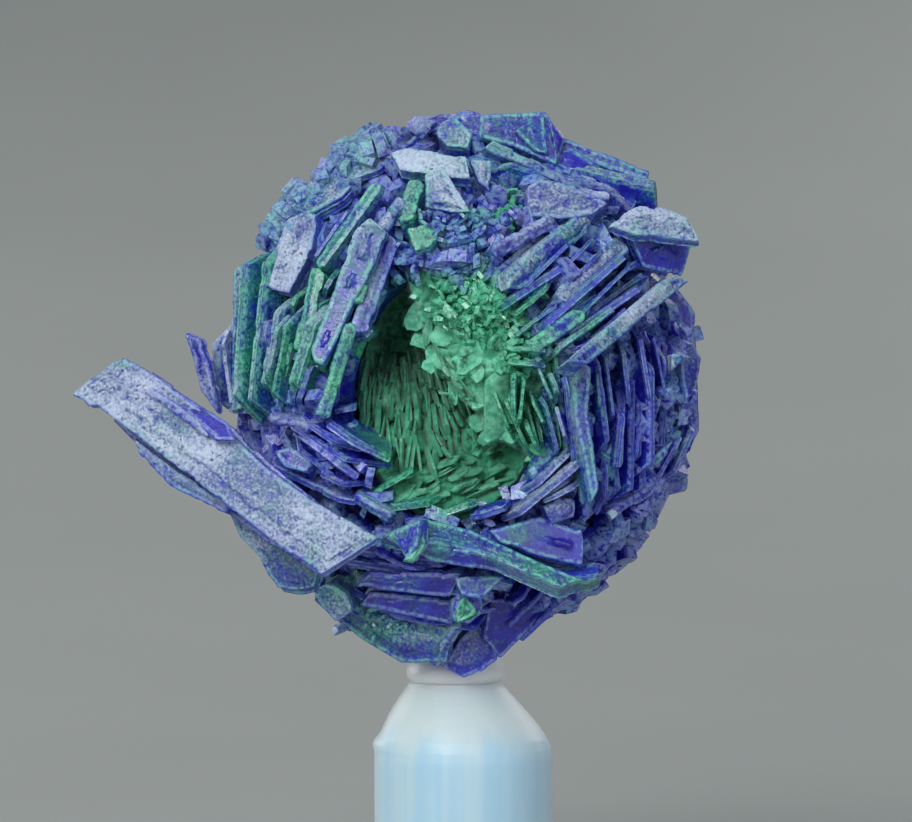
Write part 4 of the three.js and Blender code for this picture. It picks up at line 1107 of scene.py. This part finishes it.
def malachite_material():
    """Malachite as a fibrous, velvety crust: matt green, paler and bluer on the tongue, with painted shade
    darker deep in the hollow and in the crevices between grains, and painted light on the grain tops.
    """
    material, tree, where = new_tree("malachite_fibrous_crust")
    growth = add(tree, "Attribute", attribute_name="growth")
    parts = add(tree, "SeparateColor", {"Color": growth.outputs["Color"]})
    tongue, front, patch = parts.outputs[0], parts.outputs[1], parts.outputs[2]
    fine = speckle(tree, where, 0.14)
    grain = speckle(tree, where, 0.5)
    # Painted shade: darker green deeper back in the hollow, from the front value the mesh carries.
    deep = blend(tree, front, "#195a45", "#2f8d69")
    deep = blend(tree, between(tree, grain, 0.35, 0.7), deep, "#44a17e")
    pale = blend(tree, between(tree, grain, 0.3, 0.7), "#45aa86", "#86dcba")
    colour = blend(tree, tongue, deep, pale)
    # Painted light and shade: paler on the grain tops and dark in the crevices between grains, by the grain
    # height the mesh carries.
    grain_relief_shading = plus(tree, fine, 0.5, patch)
    colour = blend(tree, between(tree, grain_relief_shading, 0.95, 1.35), colour, "#94dab8")
    colour = blend(tree, between(tree, grain_relief_shading, 0.62, 0.3), colour, "#0f3f35")
    height = plus(tree, fine, 0.6, grain)
    inputs = {"Base Color": colour, "Roughness": 0.85, "IOR": 1.7, "Specular IOR Level": 0.25,
              "Sheen Weight": 0.25, "Sheen Roughness": 0.5}
    dress(tree, inputs, height, 0.7, 0.07)
    return material


def post_material():
    """Frosted plastic that light goes into: pale blue, a shoulder painted whiter as a highlight, and faint
    streaks up its wall.
    """
    material, tree, where = new_tree("frosted_plastic_turned")
    height = add(tree, "SeparateXYZ", {"Vector": where}).outputs[2]
    drawn = add(tree, "Mapping", {"Vector": where, "Scale": (1.0, 1.0, 0.04)}).outputs[0]
    streak = speckle(tree, drawn, 1.6, 3.0)
    scuff = speckle(tree, where, 0.5, 3.0)
    colour = blend(tree, between(tree, streak, 0.3, 0.75), "#b4dbee", "#c9e4ee")
    # Painted highlight: the shoulder, which faces up to the light, turns whiter above about 12 mm.
    shoulder_light_height = plus(tree, streak, 3.0 * MM, height)
    colour = blend(tree, between(tree, shoulder_light_height, 12.2 * MM, 15.4 * MM), colour, "#d8e7e7")
    rough = add(tree, "MapRange", {"Value": scuff, "To Min": 0.28, "To Max": 0.5}).outputs[0]
    inputs = {"Base Color": colour, "Roughness": rough, "IOR": 1.49, "Subsurface Weight": 0.7,
              "Subsurface Radius": (2.0, 2.6, 3.2), "Subsurface Scale": MM, "Sheen Weight": 0.8,
              "Sheen Roughness": 0.3}
    dress(tree, inputs, scuff, 0.25, 0.05)
    return material


def putty_material():
    """Mounting putty, soft and slightly clear: milky, with a wet gloss and finger dents."""
    material, tree, where = new_tree("mounting_putty_pressed")
    dent = speckle(tree, where, 0.9, 3.0)
    colour = blend(tree, between(tree, dent, 0.3, 0.7), "#f4fafa", "#ffffff")
    inputs = {"Base Color": colour, "Roughness": 0.3, "IOR": 1.48, "Subsurface Weight": 0.6,
              "Subsurface Radius": (1.2, 1.4, 1.6), "Subsurface Scale": MM}
    dress(tree, inputs, dent, 0.5, 0.15)
    return material


def floor_material():
    """Matt studio paper in a plain pale grey."""
    material, tree, where = new_tree("studio_paper_matt")
    colour = blend(tree, speckle(tree, where, 60.0), "#a7acaa", "#aeb3b1")
    inputs = {"Base Color": colour, "Roughness": 0.9, "Specular IOR Level": 0.1}
    surface = add(tree, "BsdfPrincipled", inputs)
    add(tree, "OutputMaterial", {"Surface": surface.outputs[0]})
    return material


# Pieces

AZURITE = azurite_material()
GROUPS = {
    "azurite_left_books": ("left", "left_wing", "violet"),
    "azurite_right_books": ("right_outer", "sill"),
    "azurite_upper_books": ("upper_right", "right_inner", "crown", "brow"),
    "azurite_base_books": ("base", "base_right"),
}
BACK_SEED = SEED + 40
FACE_SEED = SEED + 80
LATH_SEED = SEED + 140


def azurite_piece(name, parts):
    """One of the meshes that show the rosette."""
    make_piece(name, parts, AZURITE, "azurite_rosette")


def azurite_halves(kind, crystals):
    """The first half of the crystals as the left piece and the rest as the right one."""
    half = len(crystals) // 2
    azurite_piece("azurite_left_" + kind, sum(crystals[:half], []))
    azurite_piece("azurite_right_" + kind, sum(crystals[half:], []))


for group, names in GROUPS.items():
    blades = []
    for name in names:
        blades += book(named(BOOK_COLUMNS, BOOKS[name]), SEED + list(BOOKS).index(name), PLAIN)
    azurite_piece(group, blades)

back = []
for index, (yaw, pitch, turn, reach) in enumerate(BACK_BOOKS):
    row = dict(BACK_BOOK, at=outward(yaw, pitch) * BALL * reach, yaw=yaw, pitch=pitch, turn=turn)
    back += book(row, BACK_SEED + index, COARSE)
azurite_piece("azurite_back_books", back)

rows = [named(FACE_COLUMNS, row, layers=1) for row in FACES.values()]
azurite_halves("faces", [face(row, FACE_SEED + i) for i, row in enumerate(rows)])

rows = [named(LATH_COLUMNS, row, deep=LATH_DEEP, layers=1) for row in sum(LATHS.values(), [])]
azurite_halves("laths", [lath(row, LATH_SEED + i) for i, row in enumerate(rows)])

dice = np.random.default_rng(SEED)
heart = [core(), gap_crystals(GAP_CHIPS, GAP_SHELL, max(BALL), dice)]
heart.append(gap_crystals(BACK_CHIPS, BACK_SHELL, BACK_FRONT, dice))
heart += [druse_patch(named(DRUSE_COLUMNS, row), dice) for row in DRUSE.values()]
azurite_piece("azurite_heart", heart)

crust = [lining()] + hollow_ribs(dice) + tongue_flakes(dice) + hollow_ledges(dice)
make_piece("malachite_lining", crust, malachite_material(), "malachite_crust")
make_piece("plastic_post", [post()], post_material(), "post", lift=0)
make_piece("putty_bead", [putty()], putty_material(), "putty_collar", lift=0)

# Studio


def sweep(width, depth, radius):
    """A sheet of paper: flat floor, a quarter bend, then upright behind."""
    bend = np.linspace(0, math.pi / 2, 40)
    y = np.concatenate([[-width], depth + radius * np.sin(bend), [depth + radius]])
    z = np.concatenate([[0], radius * (1 - np.cos(bend)), [depth + radius]])
    points = stacked(np.array([-width, width])[None], y[:, None], z[:, None])
    ids = np.arange(2 * len(y)).reshape(-1, 2)
    faces = np.stack([ids[:-1, 0], ids[:-1, 1], ids[1:, 1], ids[1:, 0]], axis=-1)
    mesh = bpy.data.meshes.new("studio_floor")
    mesh.from_pydata(points.reshape(-1, 3).tolist(), [], faces.tolist())
    mesh.polygons.foreach_set("use_smooth", np.ones(len(faces), bool))
    mesh.materials.append(floor_material())
    paper = bpy.data.objects.new("studio_floor", mesh)
    bpy.context.scene.collection.objects.link(paper)


def lamp(name, at, aim, size, watts, tint):
    """A square soft light that looks at a point."""
    light = bpy.data.lights.new(name, "AREA")
    light.size = size
    light.energy = watts
    light.color = rgb(tint)[:3]
    holder = bpy.data.objects.new(name, light)
    holder.location = at
    holder.rotation_euler = (Vector(aim) - Vector(at)).to_track_quat("-Z", "Y").to_euler()
    bpy.context.scene.collection.objects.link(holder)


sweep(width=2.4, depth=0.1, radius=0.8)
CENTRE = (0.0, 0.0, ROSETTE_Z * MM)
lamp("key", (-0.15, -0.33, 0.27), CENTRE, 0.24, 1.0, "#ffffff")
lamp("fill", (0.27, -0.38, 0.16), CENTRE, 0.3, 0.46, "#eef3ff")
lamp("low", (-0.2, -0.4, 0.16), (0.0, 0.0, 0.016), 0.3, 0.45, "#ffffff")
lamp("rim", (-0.36, 0.28, 0.16), (0.0, 0.0, 0.02), 0.3, 0.6, "#ffffff")
lamp("back", (0.3, 0.4, 0.3), CENTRE, 0.3, 0.6, "#ffffff")
lamp("paper_light", (0.0, 0.1, 0.7), (0.0, 0.7, 0.1), 0.6, 0.9, "#ffffff")
world = bpy.data.worlds.new("studio")
bpy.context.scene.world = world
world.use_nodes = True
world.node_tree.nodes["Background"].inputs["Color"].default_value = rgb("#e6ecf2")
world.node_tree.nodes["Background"].inputs["Strength"].default_value = 0.14
bpy.context.scene.view_settings.view_transform = "Standard"

lens = bpy.data.cameras.new("camera")
lens.sensor_width = 36.0
lens.lens = 36.0 * CAMERA_DISTANCE / (PHOTO_WIDTH * PIXEL)
lens.clip_start = 0.01
camera = bpy.data.objects.new("camera", lens)
camera.location = (
    (PHOTO_WIDTH / 2 - CENTRE_PIXEL[0]) * PIXEL * MM,
    (FOCUS_Y - CAMERA_DISTANCE) * MM,
    (ROSETTE_Z + (CENTRE_PIXEL[1] - PHOTO_HEIGHT / 2) * PIXEL) * MM,
)
camera.rotation_euler = (math.pi / 2, 0.0, 0.0)
bpy.context.scene.collection.objects.link(camera)
bpy.context.scene.camera = camera
